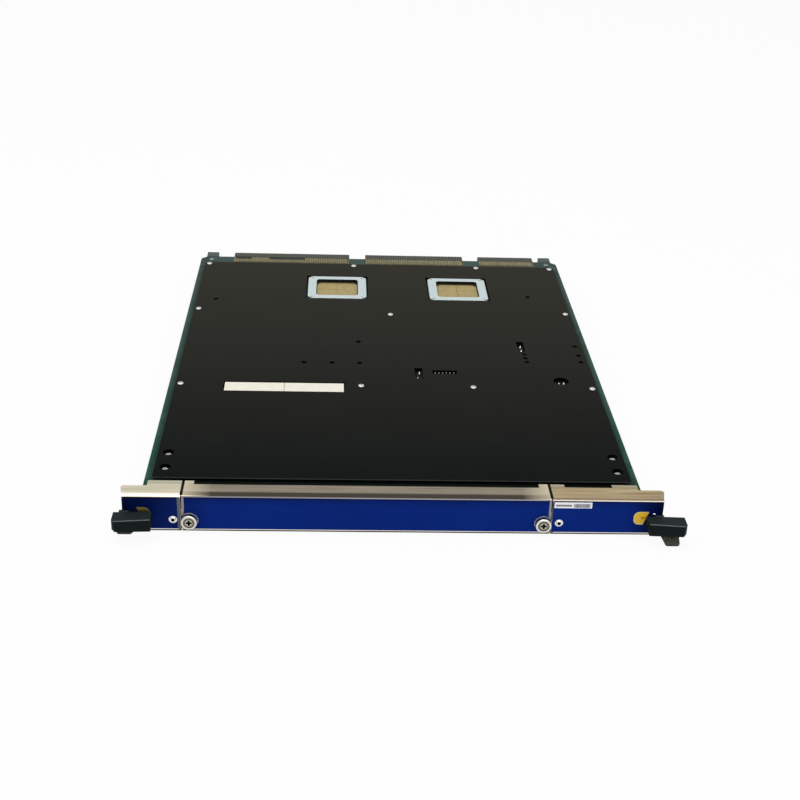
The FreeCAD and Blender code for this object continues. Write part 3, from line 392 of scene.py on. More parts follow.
moulded = Finish("moulded_package", Roughness=0.62, Specular_IOR_Level=0.3)
grain = moulded.cloud(0.35, detail=5)
moulded.paint({"Base Color": moulded.between(grain, tint(24, 24, 26), tint(44, 44, 46))})
moulded.relief(grain, 0.04)
coat(moulded, "control_chips", ease=0.15)
CONTROL_CHIPS = [(-110.0, 330.0), (-30.0, 330.0), (45.0, 330.0)]
LEADS_A_SIDE = 35
FIRST_LEAD, LEAD_PITCH = -13.6, 0.8
lead = stack([
    [(-0.18, y, z), (0.18, y, z), (0.18, y, z + 0.16), (-0.18, y, z + 0.16)]
    for y, z in ((15.5, 21.9), (16.2, 21.9), (16.6, 23.0), (17.4, 23.0))
])
piece("chip_leads", [(lead, [
    at(x, y, 0, 90 * side) @ Matrix.Translation((FIRST_LEAD + LEAD_PITCH * number, 0, 0))
    for x, y in CONTROL_CHIPS for side in range(4) for number in range(LEADS_A_SIDE)
])], tinned, "board")

# Small surface-mount parts on the component side. Ceramic capacitors and resistors with tinned ends,
# soldered flat on a grid between the larger pieces.
SMALL_PARTS = 420
GRID = 2.5
CLEARANCE = 3
PLACED_X, PLACED_Y = (-190, 190), (196, 510)
KEPT_CLEAR = [
    (-86, 414, -11, 486), (45, 414, 121, 486),  # heat sinks, as lowest x and y and highest x and y
    (-152, 190, -40, 216),  # docking connector
    (130, 254, 195, 318), (154, 214, 175, 235), (16, 223, 45, 252),  # converter, capacitor, choke
    (42, 235, 68, 246),  # service header
    (-128, 311, -92, 349), (-48, 311, -12, 349), (27, 311, 63, 349),  # control chips
    (-168, 20, -155, 190), (112, 20, 124, 190),  # bay rails
    (178, 10, 205, 90), (-205, 10, -178, 90),  # side brackets
]
random.seed(7)
small = []
while len(small) < SMALL_PARTS:
    x, y = random.uniform(*PLACED_X), random.uniform(*PLACED_Y)
    if not any(a - CLEARANCE < x < c + CLEARANCE and b - CLEARANCE < y < d + CLEARANCE
               for a, b, c, d in KEPT_CLEAR):
        small.append(at(round(x / GRID) * GRID, round(y / GRID) * GRID, BOARD_LOW, random.choice((0, 90))))
ceramic = Finish("ceramic_body", Roughness=0.5)
dark_kind = ceramic.cells(5, "Distance") > 0.5
ceramic.paint({"Base Color": ceramic.between(dark_kind, tint(128, 100, 68), tint(58, 52, 48))})
body = slab((-0.75, 0.75), (-0.6, 0.6), (-0.95, -0.02), ease=0.06)
left_end = slab((-1.1, -0.7), (-0.63, 0.63), (-0.98, 0.0), ease=0.06)
right_end = slab((0.7, 1.1), (-0.63, 0.63), (-0.98, 0.0), ease=0.06)
piece("small_part_bodies", [(body, small)], ceramic, "board")
piece("small_part_ends", [(left_end, small), (right_end, small)], solder, "board")

# Heat sinks. Extruded aluminium with straight fins, black anodised, with the marks of the die
# along the fins. Four screws press each one on its switch chip.
extruded = Finish("extruded_aluminium", Metallic=0.7)
drawn = extruded.cloud(0.5, detail=4, stretch=(0.02, 1, 1))
extruded.paint({
    "Base Color": extruded.between(drawn, tint(34, 35, 37), tint(58, 59, 61)),
    "Roughness": 0.32 + drawn * 0.18,
})
extruded.relief(drawn, 0.03)
coat(extruded, "left_heat_sink", "right_heat_sink", ease=0.12)

# Heat sink screws. Turned steel with round heads and a tarnished zinc plate. They go up through
# the corners of each heat sink and the board, and their ends show in the backing plates.
CHIP_ROW = 450.0
CHIPS = [(-48.3, CHIP_ROW), (82.6, CHIP_ROW)]
SCREW_OFFSET = 27
tarnished = Finish("tarnished_zinc", Metallic=1.0, Roughness=0.5)
dulled = tarnished.cloud(1.5, detail=4)
tarnished.paint({"Base Color": tarnished.between(dulled, tint(96, 102, 96), tint(160, 164, 156))})
sink_screw = turned([
    (0.8, 12.5), (2.7, 12.5), (3.0, 12.8), (3.0, 15.5), (1.4, 15.5), (1.4, 29.1), (1.15, 29.2),
], sides=24)
piece("sink_screws", [(sink_screw, [
    at(x + a * SCREW_OFFSET, y + b * SCREW_OFFSET, 0) for x, y in CHIPS for a in (-1, 1) for b in (-1, 1)
])], tarnished, "board", ["heat_sink_screws"])

# Power converter. A potted black brick, soldered to the board,
# with an aluminium base plate on its cool side.
BASE_PLATE_END = 13.55
converter = Finish("converter_case", Roughness=0.45)
base_plate = converter.z < BASE_PLATE_END
streak = converter.cloud(0.8, detail=4, stretch=(1, 0.03, 1))
aluminium = converter.between(streak, tint(168, 170, 172), tint(206, 207, 208))
converter.paint({
    "Base Color": converter.between(base_plate, tint(22, 22, 22), aluminium),
    "Metallic": base_plate,
    "Roughness": 0.55 - base_plate * 0.2 + streak * 0.1,
})
converter.relief(streak, 0.02)
coat(converter, "power_converter", ease=0.25)

# Bulk capacitor. A drawn aluminium can in a dark blue shrunk sleeve, crimped near its seal,
# soldered to the board by its leads, with its free end left bare.
CAPACITOR = (164.6, 224.6)
SLEEVE_START = 9.6
sleeve = Finish("capacitor_sleeve", Roughness=0.35)
can_end = sleeve.z < SLEEVE_START
shrunk = sleeve.between(sleeve.cloud(3), tint(20, 26, 40), tint(30, 38, 58))
sleeve.paint({
    "Base Color": sleeve.between(can_end, shrunk, tint(190, 190, 188)),
    "Metallic": can_end,
})
can = turned([
    (5.6, 9.2), (6.5, 9.4), (7.0, 10.0), (7.0, 20.6), (6.6, 21.0), (6.3, 21.5), (6.6, 22.0), (7.0, 22.4),
    (7.0, 22.9), (6.6, 23.2),
], sides=48)
piece("capacitor_can", [(can, [at(*CAPACITOR, 0)])], sleeve, "board", ["bulk_capacitor"])

# Power choke. A block pressed from iron powder round a coil of flat wire, with a rough grey skin.
# It is soldered to the board by the ends of the wire.
iron = Finish("pressed_iron", Roughness=0.7)
powder = iron.cloud(0.5, detail=6)
iron.paint({"Base Color": iron.between(powder, tint(52, 52, 54), tint(86, 86, 88))})
iron.relief(powder, 0.08)
coat(iron, "power_choke", ease=0.4)

# Service header and docking connector. Dark glass-filled mouldings, soldered to the component side,
# with rows of tinned contacts in their mouths.
moulding = Finish("dark_moulding", Roughness=0.5, Specular_IOR_Level=0.35)
fleck = moulding.cloud(0.4, detail=5)
moulding.paint({"Base Color": moulding.between(fleck, tint(26, 26, 27), tint(48, 48, 48))})
moulding.relief(fleck, 0.03)
coat(moulding, "service_header", "docking_connector", ease=0.2)
DOCKING_START, DOCKING_PITCH, DOCKING_COLUMNS = -145.0, 1.27, 78
DOCKING_ROWS = (14.7, 17.5)
header_pin = slab((-0.3, 0.3), (-0.3, 0.3), (15.0, 21.0), ease=0.12)
finger = slab((-0.35, 0.35), (198.0, 207.0), (-0.1, 0.1))
piece("header_pins", [(header_pin, [at(x, y, 0) for x, y in HEADER_PINS])], tinned, "board")
piece("docking_contacts", [(finger, [
    at(DOCKING_START + DOCKING_PITCH * column, 0, z)
    for column in range(DOCKING_COLUMNS) for z in DOCKING_ROWS
])], tinned, "board")

# Docking strips. Two cream insulating mouldings with shallow lengthwise grooves. They lie on the board
# over the docking connector's tails, end to end in a window of the cover.
cream = Finish("cream_moulding", Roughness=0.5, Specular_IOR_Level=0.3)
smear = cream.cloud(9, detail=4)
cream.paint({"Base Color": cream.between(smear, tint(232, 227, 210), tint(247, 243, 230))})
cream.relief(cream.cloud(0.4, detail=5), 0.02)
grooved = [
    (196.0, BOARD_TOP), (213.7, BOARD_TOP), (213.7, 28.4), (213.5, 28.6),
    (209.9, 28.6), (209.7, 28.35), (209.3, 28.35), (209.1, 28.6),
    (200.6, 28.6), (200.4, 28.35), (200.0, 28.35), (199.8, 28.6), (196.2, 28.6), (196.0, 28.4),
]
for word, start, end in (("left", -151.0, -96.3), ("right", -95.9, -41.0)):
    strip = stack([[(x, y, z) for y, z in grooved] for x in (start, end)])
    piece(f"{word}_strip", [(strip, [Matrix.Identity(4)])], cream, "board",
          [f"{word}_docking_strip"])

# Bay rails. Folded steel channels under the board that guide the plug-in module,
# zinc plated, with a faint spangle and wiped streaks.
plated_steel = Finish("zinc_plate", Metallic=1.0)
spangle = plated_steel.cells(3.5, "Distance")
wipe = plated_steel.cloud(1.0, detail=4, stretch=(1, 0.03, 1))
plated_steel.paint({
    "Base Color": plated_steel.between(spangle * 0.5 + wipe * 0.5, tint(150, 152, 150), tint(206, 206, 200)),
    "Roughness": 0.3 + wipe * 0.2,
})
plated_steel.relief(wipe, 0.02)
coat(plated_steel, "left_bay_rail", "right_bay_rail", ease=0.2)

# Backplane connectors. Dark grey glass-filled mouldings along the rear edge, held by their soldered
# contacts, with a fine rib for every contact column, painted lighter on the ribs and darker between them as
# light and shade. The ledge next to the board is painted darker, as the shade in the gap by the board's edge.
LEDGE_END = 545.8
housing = Finish("connector_housing", Roughness=0.6, Specular_IOR_Level=0.1)
ribs = housing.x.fold(PIN_PITCH)
speck = housing.cloud(1.5, detail=4)
grey = housing.between(speck, tint(56, 59, 54), tint(80, 83, 76))
# Painted light and shade of the ribs: lighter stripes on them, darker ones between them at the rear.
grey = housing.between((ribs > 0.72) * 0.5, grey, tint(118, 120, 110))
grey = housing.between((ribs < 0.28) * (housing.y > 545) * 0.8, grey, tint(40, 40, 36))
# Painted shade on the ledge next to the board.
housing.paint({"Base Color": housing.between((housing.y < LEDGE_END) * 0.6, grey, tint(22, 22, 20))})
housing.relief(ribs.rise(0.1, 0.35) + speck * 0.1, 0.15)
coat(housing, "left_backplane_connector", "middle_backplane_connector", "right_backplane_connector", ease=0.2)

# Guide blocks. Dull die castings screwed to the rear corners, each with a reamed bore
# for a guide pin of the backplane.
cast = Finish("guide_casting", Metallic=0.6, Specular_IOR_Level=0.2)
skin = cast.cloud(1.1, detail=5)
cast.paint({
    "Base Color": cast.between(skin, tint(44, 54, 50), tint(88, 98, 92)),
    "Roughness": 0.45 + skin * 0.2,
})
cast.relief(skin, 0.05)
coat(cast, "left_guide_block", "right_guide_block", ease=0.3)

# Via fields. The plated holes under each switch chip, which show in the windows of the backing plates.
# They stand in four quarters with bare lines between them, and the plate shades their rear corners.
VIA_PITCH = 1.27
FIELD_HALF, FIELD_THICKNESS = 22.2, 0.06
LIT_HALF, LIT_REAR = 15.4, 462.4
left_chip, right_chip = CHIPS
field = Finish("via_field", Roughness=0.5, Specular_IOR_Level=0.15)
off_column, off_row = field.x.fold(VIA_PITCH), field.y.fold(VIA_PITCH)
dots = off_column * off_column + off_row * off_row
gold = dots < 0.2
bore = dots < 0.03
from_left, from_right = abs(field.x - left_chip[0]), abs(field.x - right_chip[0])
midlines = (from_left < 0.7) | (from_right < 0.7) | (abs(field.y - CHIP_ROW) < 0.6)
past_side = (from_left & from_right) - LIT_HALF | 0
past_rear = field.y - LIT_REAR | 0
shaded = (past_side * past_side + past_rear * past_rear).rise(36, 44)
ground = field.between(field.cloud(6, detail=4), tint(130, 115, 68), tint(184, 164, 106))
ground = field.between(gold * 0.6, ground, tint(216, 198, 146))
ground = field.between(bore | midlines * field.cloud(7).rise(0.3, 0.7) * 0.5, ground, tint(104, 90, 56))
ground = field.between(shaded * 0.9, ground, tint(24, 24, 20))
field.paint({"Base Color": ground, "Metallic": gold * 0.3})
field.relief(gold, 0.03)
square = (-FIELD_HALF, FIELD_HALF)
area = slab(square, square, (BOARD_TOP, BOARD_TOP + FIELD_THICKNESS))
piece("via_fields", [(area, [at(x, y, 0) for x, y in CHIPS])], field, "board")

# Backing plates. Stamped steel frames, nickel plated, that lie on the board in windows of the cover
# and take the heat sinks' screws. The walls of their own windows are painted dark, as shade.
WINDOW_HALF = 22.5
nickel = Finish("nickel_plate", Metallic=0.85)
up = nickel.facing()[2]
by_window = (abs(nickel.x - left_chip[0]) < WINDOW_HALF) | (abs(nickel.x - right_chip[0]) < WINDOW_HALF)
window_wall_shade = (abs(nickel.y - CHIP_ROW) < WINDOW_HALF) & by_window & (abs(up) < 0.5)
frost = nickel.cloud(2.2, detail=4)
plating = nickel.between(frost, tint(176, 190, 193), tint(210, 220, 221))
# Painted shade: the walls of the windows are near black.
nickel.paint({
    "Base Color": nickel.between(window_wall_shade, plating, tint(30, 34, 32)),
    "Roughness": 0.34 + frost * 0.2,
})
nickel.relief(frost, 0.02)
coat(nickel, "left_backing_plate", "right_backing_plate", ease=0.25)

# Cover standoffs. Short turned posts, plated, that are swaged into the board
# and take the cover's screws.
post = Finish("standoff_plate", Metallic=1.0, Roughness=0.35)
post.paint({"Base Color": post.between(post.cloud(1), tint(170, 172, 168), tint(206, 206, 200))})
coat(post, "cover_standoffs")

# Cover. A thin metal sheet with a dull black coat, screwed to the standoffs, lightly dusted and rubbed,
# with a painted sheen that grows towards the rear. Its outer edges are bare where it was sheared, and the
# walls of its openings are painted dark as shade.
RIM_FRONT, RIM_REAR, RIM_SIDE = 36.4, 518.0, 195.0
black = Finish("dull_black", Specular_IOR_Level=0.02)
up = black.facing()[2]
stipple = black.cloud(0.5, detail=5)
dust = black.cloud(60, detail=6)
rubs = black.cloud(5, detail=6, stretch=(0.12, 1, 1))
# Painted sheen: the coat is painted lighter towards the rear, and the dust shows more there.
far_sheen = black.y.rise(30, 520)
coating = black.between(far_sheen, tint(9, 14, 15), tint(48, 47, 41))
coating = black.between((dust * 0.2 + rubs * 0.12) * (far_sheen * 0.7 + 0.3), coating, tint(56, 56, 50))
# Painted shade: the walls of the openings are near black. The sheared outer edges are bare metal.
sheared = (black.y < RIM_FRONT) | (black.y > RIM_REAR) | (abs(black.x) > RIM_SIDE)
walls = black.between(sheared, tint(4, 5, 5), tint(74, 78, 77))
black.paint({
    "Base Color": black.between(abs(up) > 0.5, walls, coating),
    "Roughness": 0.62 + stipple * 0.2,
})
black.relief(stipple, 0.04, 0.6)
coat(black, "solder_side_cover")

# Screws of the cover, the side brackets and the guide blocks. Small pan heads with a cross recess.
# They are bright zinc plated, apart from the tarnished ones of the guide blocks.


def carved(stock, tool):
    """The stock with the tool's shape cut out."""
    things = [bpy.data.objects.new(word, mesh) for word, mesh in (("stock", stock), ("tool", tool))]
    for thing in things:
        bpy.context.scene.collection.objects.link(thing)
    cut = things[0].modifiers.new("cut", "BOOLEAN")
    cut.object = things[1]
    cut.operation = "DIFFERENCE"
    cut.solver = "EXACT"
    bpy.context.view_layer.update()
    done = bpy.data.meshes.new_from_object(things[0].evaluated_get(bpy.context.evaluated_depsgraph_get()))
    for thing in things:
        bpy.data.objects.remove(thing)
    return done


def cross(long, wide, top, bottom, narrow=0.6):
    """A tapered cross-shaped tool for a screw's recess."""
    plus = [(long, -wide), (long, wide), (wide, wide), (wide, long), (-wide, long), (-wide, wide),
            (-long, wide), (-long, -wide), (-wide, -wide), (-wide, -long), (wide, -long), (wide, -wide)]
    ends = ((narrow, bottom), (1.0, top))
    return stack([[(x * share, y * share, z) for x, y in plus] for share, z in ends])


zinc = Finish("bright_zinc", Metallic=1.0)
haze = zinc.cloud(1.2, detail=4)
zinc.paint({
    "Base Color": zinc.between(haze, tint(172, 176, 172), tint(220, 221, 215)),
    "Roughness": 0.24 + haze * 0.2,
})
zinc.relief(haze, 0.015)
pan_head = turned([
    (1.5, -0.4), (1.5, 0), (2.7, 0), (2.8, 0.12), (2.8, 0.5), (2.6, 0.9), (2.1, 1.18), (1.4, 1.35),
    (0.5, 1.4),
], sides=40)
pan_head = carved(pan_head, cross(1.6, 0.4, 1.9, 0.5))
shank = turned([(1.3, -2.2), (1.5, -2.0), (1.5, 0)], sides=12)
long_shank = turned([(1.3, -4.2), (1.5, -4.0), (1.5, 0)], sides=12)
COVER_TOP = 29.0
COVER_SCREWS = [
    (-191.7, 513.5), (-30.0, 513.5), (108.3, 513.5), (191.7, 513.5),
    (-191.7, 384.7), (7.4, 376.6), (191.7, 384.7),
    (-191.7, 208.0), (-24.8, 208.0), (79.9, 208.0), (191.7, 208.0),
]
BRACKET_SCREWS = [(side * 187.9, row) for side in (-1, 1) for row in (53.0, 77.7)]
GUIDE_SCREWS = [(-191.0, 534.0), (191.0, 534.0)]
random.seed(3)
for name, seat, spots, below, node, finish in (
    ("cover_screw_heads", COVER_TOP, COVER_SCREWS, shank, "cover_screws", zinc),
    ("bracket_screw_heads", BOARD_TOP, BRACKET_SCREWS, long_shank, "bracket_screws", zinc),
    ("guide_screw_heads", BOARD_TOP, GUIDE_SCREWS, long_shank, "guide_block_screws", tarnished),
):
    places = [at(x, y, seat, random.uniform(0, 90)) for x, y in spots]
    piece(name, [(pan_head, places), (below, places)], finish, "board", [node])

# Side brackets. Folded zinc-plated steel that ties the wings to the board,
# with the pivot pins of the ejector levers riveted in.
coat(plated_steel, "left_side_bracket", "right_side_bracket", ease=0.2)
coat(zinc, "left_pivot_pin", "right_pivot_pin", ease=0.15)

# Ejector levers. Die castings on the pivot pins, with a jaw that works on the chassis and a neck
# that comes out through the panel's notch. They are painted near black towards the front, as shade.
die_cast = Finish("lever_casting", Metallic=0.9)
flow = die_cast.cloud(1.6, detail=5)
casting = die_cast.between(flow, tint(70, 73, 74), tint(118, 121, 120))
# Painted shade: the casting darkens towards the front.
die_cast.paint({
    "Base Color": die_cast.between(die_cast.y.rise(26, 18) * 0.9, casting, tint(16, 18, 21)),
    "Roughness": 0.42 + flow * 0.2,
})
die_cast.relief(flow, 0.05)
coat(die_cast, "left_ejector_lever", "right_ejector_lever", ease=0.3)

# Grips. Dark moulded sleeves that slide on the levers' necks, with a fine speckled grain.
# They are paler along the ridge, rubbed and with a painted highlight, and have painted shade below it.
grip = Finish("grip_moulding", Specular_IOR_Level=0.05)
along, up = grip.facing()[1:]
grit = grip.cloud(0.5, detail=5)
blotch = grip.cloud(7, detail=4)
rub_and_highlight = up.within(0.3, 0.96) & (along < -0.15)
shade = grip.between(grit.rise(0.3, 0.7), tint(16, 22, 23), tint(40, 48, 48))
shade = grip.between(blotch * 0.35, shade, tint(30, 40, 37))
# Painted shade on the faces below the ridge.
shade = grip.between((up < 0.25) * 0.65, shade, tint(7, 12, 14))
# The faces along the ridge are paler: rubbed, with a painted highlight.
shade = grip.between(rub_and_highlight * (0.35 + blotch * 0.5), shade, tint(120, 130, 128))
grip.paint({"Base Color": shade, "Roughness": 0.5 + grit * 0.15})
grip.relief(grit, 0.06)
coat(grip, "left_grip", "right_grip", ease=0.5)

# Release triggers. Cast tongues on steel pins in the grips, grey brown and speckled,
# with painted shade on their front faces and at the tip of the open one, near the floor.
tongue = Finish("trigger_casting", Specular_IOR_Level=0.1)
# Painted shade on the faces that point to the front.
shaded_front = tongue.facing()[1] < -0.75
grains = tongue.cloud(0.9, detail=5)
cast_skin = tongue.between(grains.rise(0.35, 0.65), tint(44, 44, 40), tint(104, 102, 92))
# Painted shade at the tip of the open trigger, by the floor.
shaded_tip = tongue.z.rise(2.3, 1.5) * (tongue.x > 0)
tongue.paint({
    "Base Color": tongue.between(shaded_front * 0.85 | shaded_tip * 0.8, cast_skin, tint(26, 27, 26)),
    "Roughness": 0.5 + grains * 0.15,
})
tongue.relief(grains, 0.1)
coat(tongue, "left_trigger", "right_trigger", ease=0.3)
coat(zinc, "left_trigger_pin", "right_trigger_pin", ease=0.15)

# Wing panels and blank panel. Folded steel, plated and brushed along their length, each in its own tone.
# A strip beside the upper bend carries painted light and shade, the bends carry painted highlights, and the
# edges at the seams have tones of their own. The lower edge of the face and the wings' outer ends are painted
# dark as shade.
# The wings stand on the side brackets, and the thumbscrews hold the blank between them.
SEAMS = (-169.5, 125.8)
SEAM_EDGE = 2.6
BLANK_MIDDLE = -21.9
WING_START, WING_END = 126, 214.9
FACE_MIDDLE, FACE_TOP = 16, 31.3
FLANGE_DEPTH = 19.7


def panel_steel(name, flange, stained, strip, bend_highlight, seam_edge, reach=(6.2, 3.6), glint=0.0):
    """Plated steel: two tones of the brushed flange, the strip by the bend with its painted light and shade,
    and how far it reaches, the bend's painted highlight, the edge at the seam, and how bright the painted
    glint on the ends of the blank is."""
    steel = Finish(name, Metallic=1.0)
    brushed = steel.cloud(0.7, detail=5, stretch=(0.012, 1, 1))
    stain = steel.cloud(22, detail=5, stretch=(0.35, 1, 1))
    sheet = steel.between(brushed.rise(0.3, 0.7), stained, flange)
    sheet = steel.between(stain.rise(0.45, 0.75) * 0.5, sheet, stained)
    lip = steel.y.rise(19.3, FLANGE_DEPTH) * (abs(steel.x) > WING_START)
    sheet = steel.between(lip * 0.45, sheet, tint(150, 150, 140))
    sheet = steel.between((abs(steel.y - FLANGE_DEPTH) < 0.4) * lip * 0.7, sheet, tint(60, 54, 44))
    # Painted light and shade on the strip beside the upper bend: bright on the left wing, darker on the right
    # wing, dark on the blank.
    sheet = steel.between(steel.y.rise(*reach), sheet, strip)
    blank_ends = abs(steel.x - BLANK_MIDDLE).rise(124, 146)
    sheet = steel.between(blank_ends * glint, sheet, tint(240, 226, 194))
    # Painted highlights on the bends, brightest on the lower bend.
    on_bend = steel.y.rise(0.85, 0.45)
    sheet = steel.between(on_bend, sheet, bend_highlight)
    sheet = steel.between(on_bend * (steel.z < FACE_MIDDLE), sheet, tint(238, 232, 222))
    off_seam = abs(steel.x - SEAMS[0]) & abs(steel.x - SEAMS[1])
    on_front = steel.z < FACE_TOP
    sheet = steel.between((off_seam < SEAM_EDGE) * on_front * 0.8, sheet, seam_edge)
    # Painted shade on the wings' outer ends.
    sheet = steel.between((abs(steel.x) > WING_END) * on_front * 0.9, sheet, tint(14, 16, 32))
    # Painted shade along the lower edge of the face, by the floor.
    contact_shade = steel.z.rise(2.05, 1.75) * (steel.y < 1.3)
    sheet = steel.between(contact_shade, sheet, tint(26, 24, 20))
    steel.paint({"Base Color": sheet, "Roughness": 0.22 + brushed * 0.2})
    steel.relief(brushed, 0.02)
    return steel


left_steel = panel_steel(
    "left_wing_steel", flange=tint(218, 211, 188), stained=tint(177, 169, 144), strip=tint(246, 241, 225),
    bend_highlight=tint(228, 222, 204), seam_edge=tint(42, 42, 54))
coat(left_steel, "left_wing_panel")
right_steel = panel_steel(
    "right_wing_steel", flange=tint(195, 177, 138), stained=tint(130, 110, 77), strip=tint(126, 111, 88),
    bend_highlight=tint(178, 170, 158), seam_edge=tint(52, 50, 58), reach=(3.4, 2.0))
coat(right_steel, "right_wing_panel")
blank_steel = panel_steel(
    "blank_steel", flange=tint(156, 146, 127), stained=tint(102, 93, 79), strip=tint(53, 46, 36),
    bend_highlight=tint(116, 114, 122), seam_edge=tint(150, 145, 140), reach=(8.2, 6.0), glint=0.5)
coat(blank_steel, "blank_panel")

# Films. Printed plastic overlays, deep blue with a fine texture, stuck to the face of each section.
# They are painted darker below the bend and at the ends, as shade, and worn grey at the left seam.
film = Finish("blue_film", Specular_IOR_Level=0.03)
weave = film.cloud(0.35, detail=4)
dye = film.cloud(40, detail=3)
blue = film.between(dye, tint(3, 32, 108), tint(8, 42, 128))
# Painted shade towards the ends and below the bend.
shaded_ends = film.x.rise(-140, -212) | film.x.rise(188, 212)
blue = film.between(shaded_ends * 0.85, blue, tint(3, 8, 34))
shade_below_bend = film.z.rise(24, 31) * 0.35 | film.z.rise(30.0, 30.8) * 0.75
blue = film.between(shade_below_bend, blue, tint(4, 8, 34))
worn = film.x.within(-172.6, -170.0)
blue = film.between(worn * 0.8, blue, tint(104, 108, 108))
film.paint({"Base Color": blue, "Roughness": 0.36 + weave * 0.12})
film.relief(weave, 0.015)
coat(film, "left_wing_film", "right_wing_film", "blank_panel_film")

# Stickers on the wings. A white paper one with plain grey fields lies at the right seam, and a yellow
# patch with a pale border by each ejector. The left patch and its border are painted dark, as the shade of
# the grip over them.


def rounded(x, z, radii):
    """A rectangle's outline on the face, with its own radius at each corner, from lower left round."""
    corners = [(x[0], z[0], 1, 1, 180), (x[1], z[0], -1, 1, 270),
               (x[1], z[1], -1, -1, 0), (x[0], z[1], 1, -1, 90)]
    steps = 6
    outline = []
    for (cx, cz, sx, sz, start), radius in zip(corners, radii):
        for step in range(steps + 1):
            turn = math.radians(start + 90 * step / steps)
            outline.append((cx + sx * radius + radius * math.cos(turn),
                            cz + sz * radius + radius * math.sin(turn)))
    return outline


def sticker(outline, back, front, slant=0.0):
    """A thin sticker on the face. Its outer edge leans in towards the bottom by the given slope."""
    middle = sum(x for x, z in outline) / len(outline)
    upright_at = 22
    leaning = [(x - math.copysign(slant, x) * (upright_at - z) * (abs(x) > abs(middle)), z)
               for x, z in outline]
    return stack([[(x, y, z) for x, z in leaning] for y in (back, front)])


FILM_FACE = -0.25
LABEL_X, LABEL_Z, LABEL_FRONT = (127.6, 158.0), (25.2, 30.6), -0.33
paper = Finish("white_paper", Roughness=0.6, Specular_IOR_Level=0.2)
fibre = paper.cloud(0.6, detail=5)
page = paper.between(fibre, tint(226, 228, 232), tint(248, 248, 250))
bars = paper.cloud(1.1, stretch=(1, 0, 0)) > 0.5
barred_field = (paper.x.within(143.4, 156.6) & paper.z.within(25.7, 29.2)) * (0.6 + bars * 0.3)
ruled_field = (paper.x.within(128.8, 141.8) & paper.z.within(26.7, 28.4)) * 0.85
paper.paint({"Base Color": paper.between(barred_field | ruled_field, page, tint(84, 84, 92))})
label = sticker(rounded(LABEL_X, LABEL_Z, (0.4,) * 4), FILM_FACE, LABEL_FRONT)
piece("white_sticker", [(label, [Matrix.Identity(4)])], paper, "board")

border = Finish("patch_border", Roughness=0.5)
edging = border.between(border.cloud(1), tint(190, 180, 126), tint(212, 202, 150))
# Painted shade on the left border, under the grip.
edging_shade = (border.x < 0) * 0.8
border.paint({"Base Color": border.between(edging_shade, edging, tint(58, 54, 34))})
yellow = Finish("yellow_patch", Roughness=0.45)
ochre = yellow.between(yellow.cloud(3, detail=4), tint(214, 166, 4), tint(234, 194, 26))
plain_bar = yellow.x.within(198.4, 202.0) & yellow.z.within(16.2, 17.4)
ochre = yellow.between(plain_bar * 0.8, ochre, tint(120, 66, 24))
# Painted shade on the left patch, under the grip, a little lighter at the top.
patch_shade = (yellow.x < 0) * (0.94 - yellow.z.rise(19.6, 20.8) * 0.2)
yellow.paint({"Base Color": yellow.between(patch_shade, ochre, tint(50, 48, 36))})
PATCH_END = 204.6
PATCH_SLANT = 0.35
BORDER_WIDTH = 0.8
BORDER_Z, PATCH_Z = (10.4, 22.4), (11.1, 21.8)
PATCH_BACK, PATCH_FRONT = -0.31, -0.36
for word, side, start, radii in (
    ("left", -1, 194.2, (0.4, 4.6, 4.6, 0.4)),
    ("right", 1, 192.6, (4.6, 0.4, 0.4, 4.6)),
):
    outer = rounded(sorted((side * start, side * PATCH_END)), BORDER_Z, radii)
    inner = rounded(sorted((side * (start + BORDER_WIDTH), side * PATCH_END)), PATCH_Z, radii)
    border_sheet = sticker(outer, FILM_FACE, PATCH_BACK, PATCH_SLANT)
    patch_sheet = sticker(inner, PATCH_BACK, PATCH_FRONT, PATCH_SLANT)
    piece(f"{word}_patch_border", [(border_sheet, [Matrix.Identity(4)])], border, "board")
    piece(f"{word}_patch", [(patch_sheet, [Matrix.Identity(4)])], yellow, "board")

# Lugs and inserts behind the seams. Folded plated steel, riveted to the wings,
# with the threaded inserts that take the thumbscrews.
coat(plated_steel, "left_bay_lug", "right_bay_lug", ease=0.2)
coat(zinc, "lug_inserts")

# Rivets of the lugs, and a stud on the right wing. The rivets are hollow, with a rolled head
# on the face. All of them are bright plated steel.


def to_front(x, y, z):
    """A place for a turned shape whose axis points out of the panel's face."""
    return Matrix.Translation((x, y, z)) @ Matrix.Rotation(math.radians(90), 4, "X")


RIVETS = (-176.3, 132.6)
SCREW_HEIGHT = 11.0
STUD = (209.0, 0, 20.2)
bright = Finish("rivet_plate", Metallic=1.0, Roughness=0.3)
off_rivet = abs(bright.x - RIVETS[0]) & abs(bright.x - RIVETS[1])
over_rivet = bright.z - SCREW_HEIGHT
# Painted shade: the rivets' holes are near black.
rivet_hole_shade = off_rivet * off_rivet + over_rivet * over_rivet < 2.4
rolled = bright.between(bright.cloud(1), tint(222, 226, 230), tint(250, 250, 250))
bright.paint({"Base Color": bright.between(rivet_hole_shade, rolled, tint(12, 12, 14))})
hollow = turned([
    (1.2, 0.75), (1.45, 0.9), (1.95, 0.9), (2.35, 0.65), (2.55, 0.2), (2.5, 0), (1.8, 0), (1.8, -3.5),
    (2.6, -3.5), (2.4, -4.7), (1.7, -5.0), (1.2, -4.8),
], sides=36, closed=True)
piece("face_rivets", [(hollow, [to_front(x, 0, SCREW_HEIGHT) for x in RIVETS])],
      bright, "board", ["lug_rivets"])
stud = turned([(1.0, 0.2), (1.2, 0.25), (1.2, 0.45), (1.0, 0.75), (0.55, 0.95), (0.15, 1.0)], sides=24)
piece("wing_stud", [(stud, [to_front(*STUD)])], bright, "board")

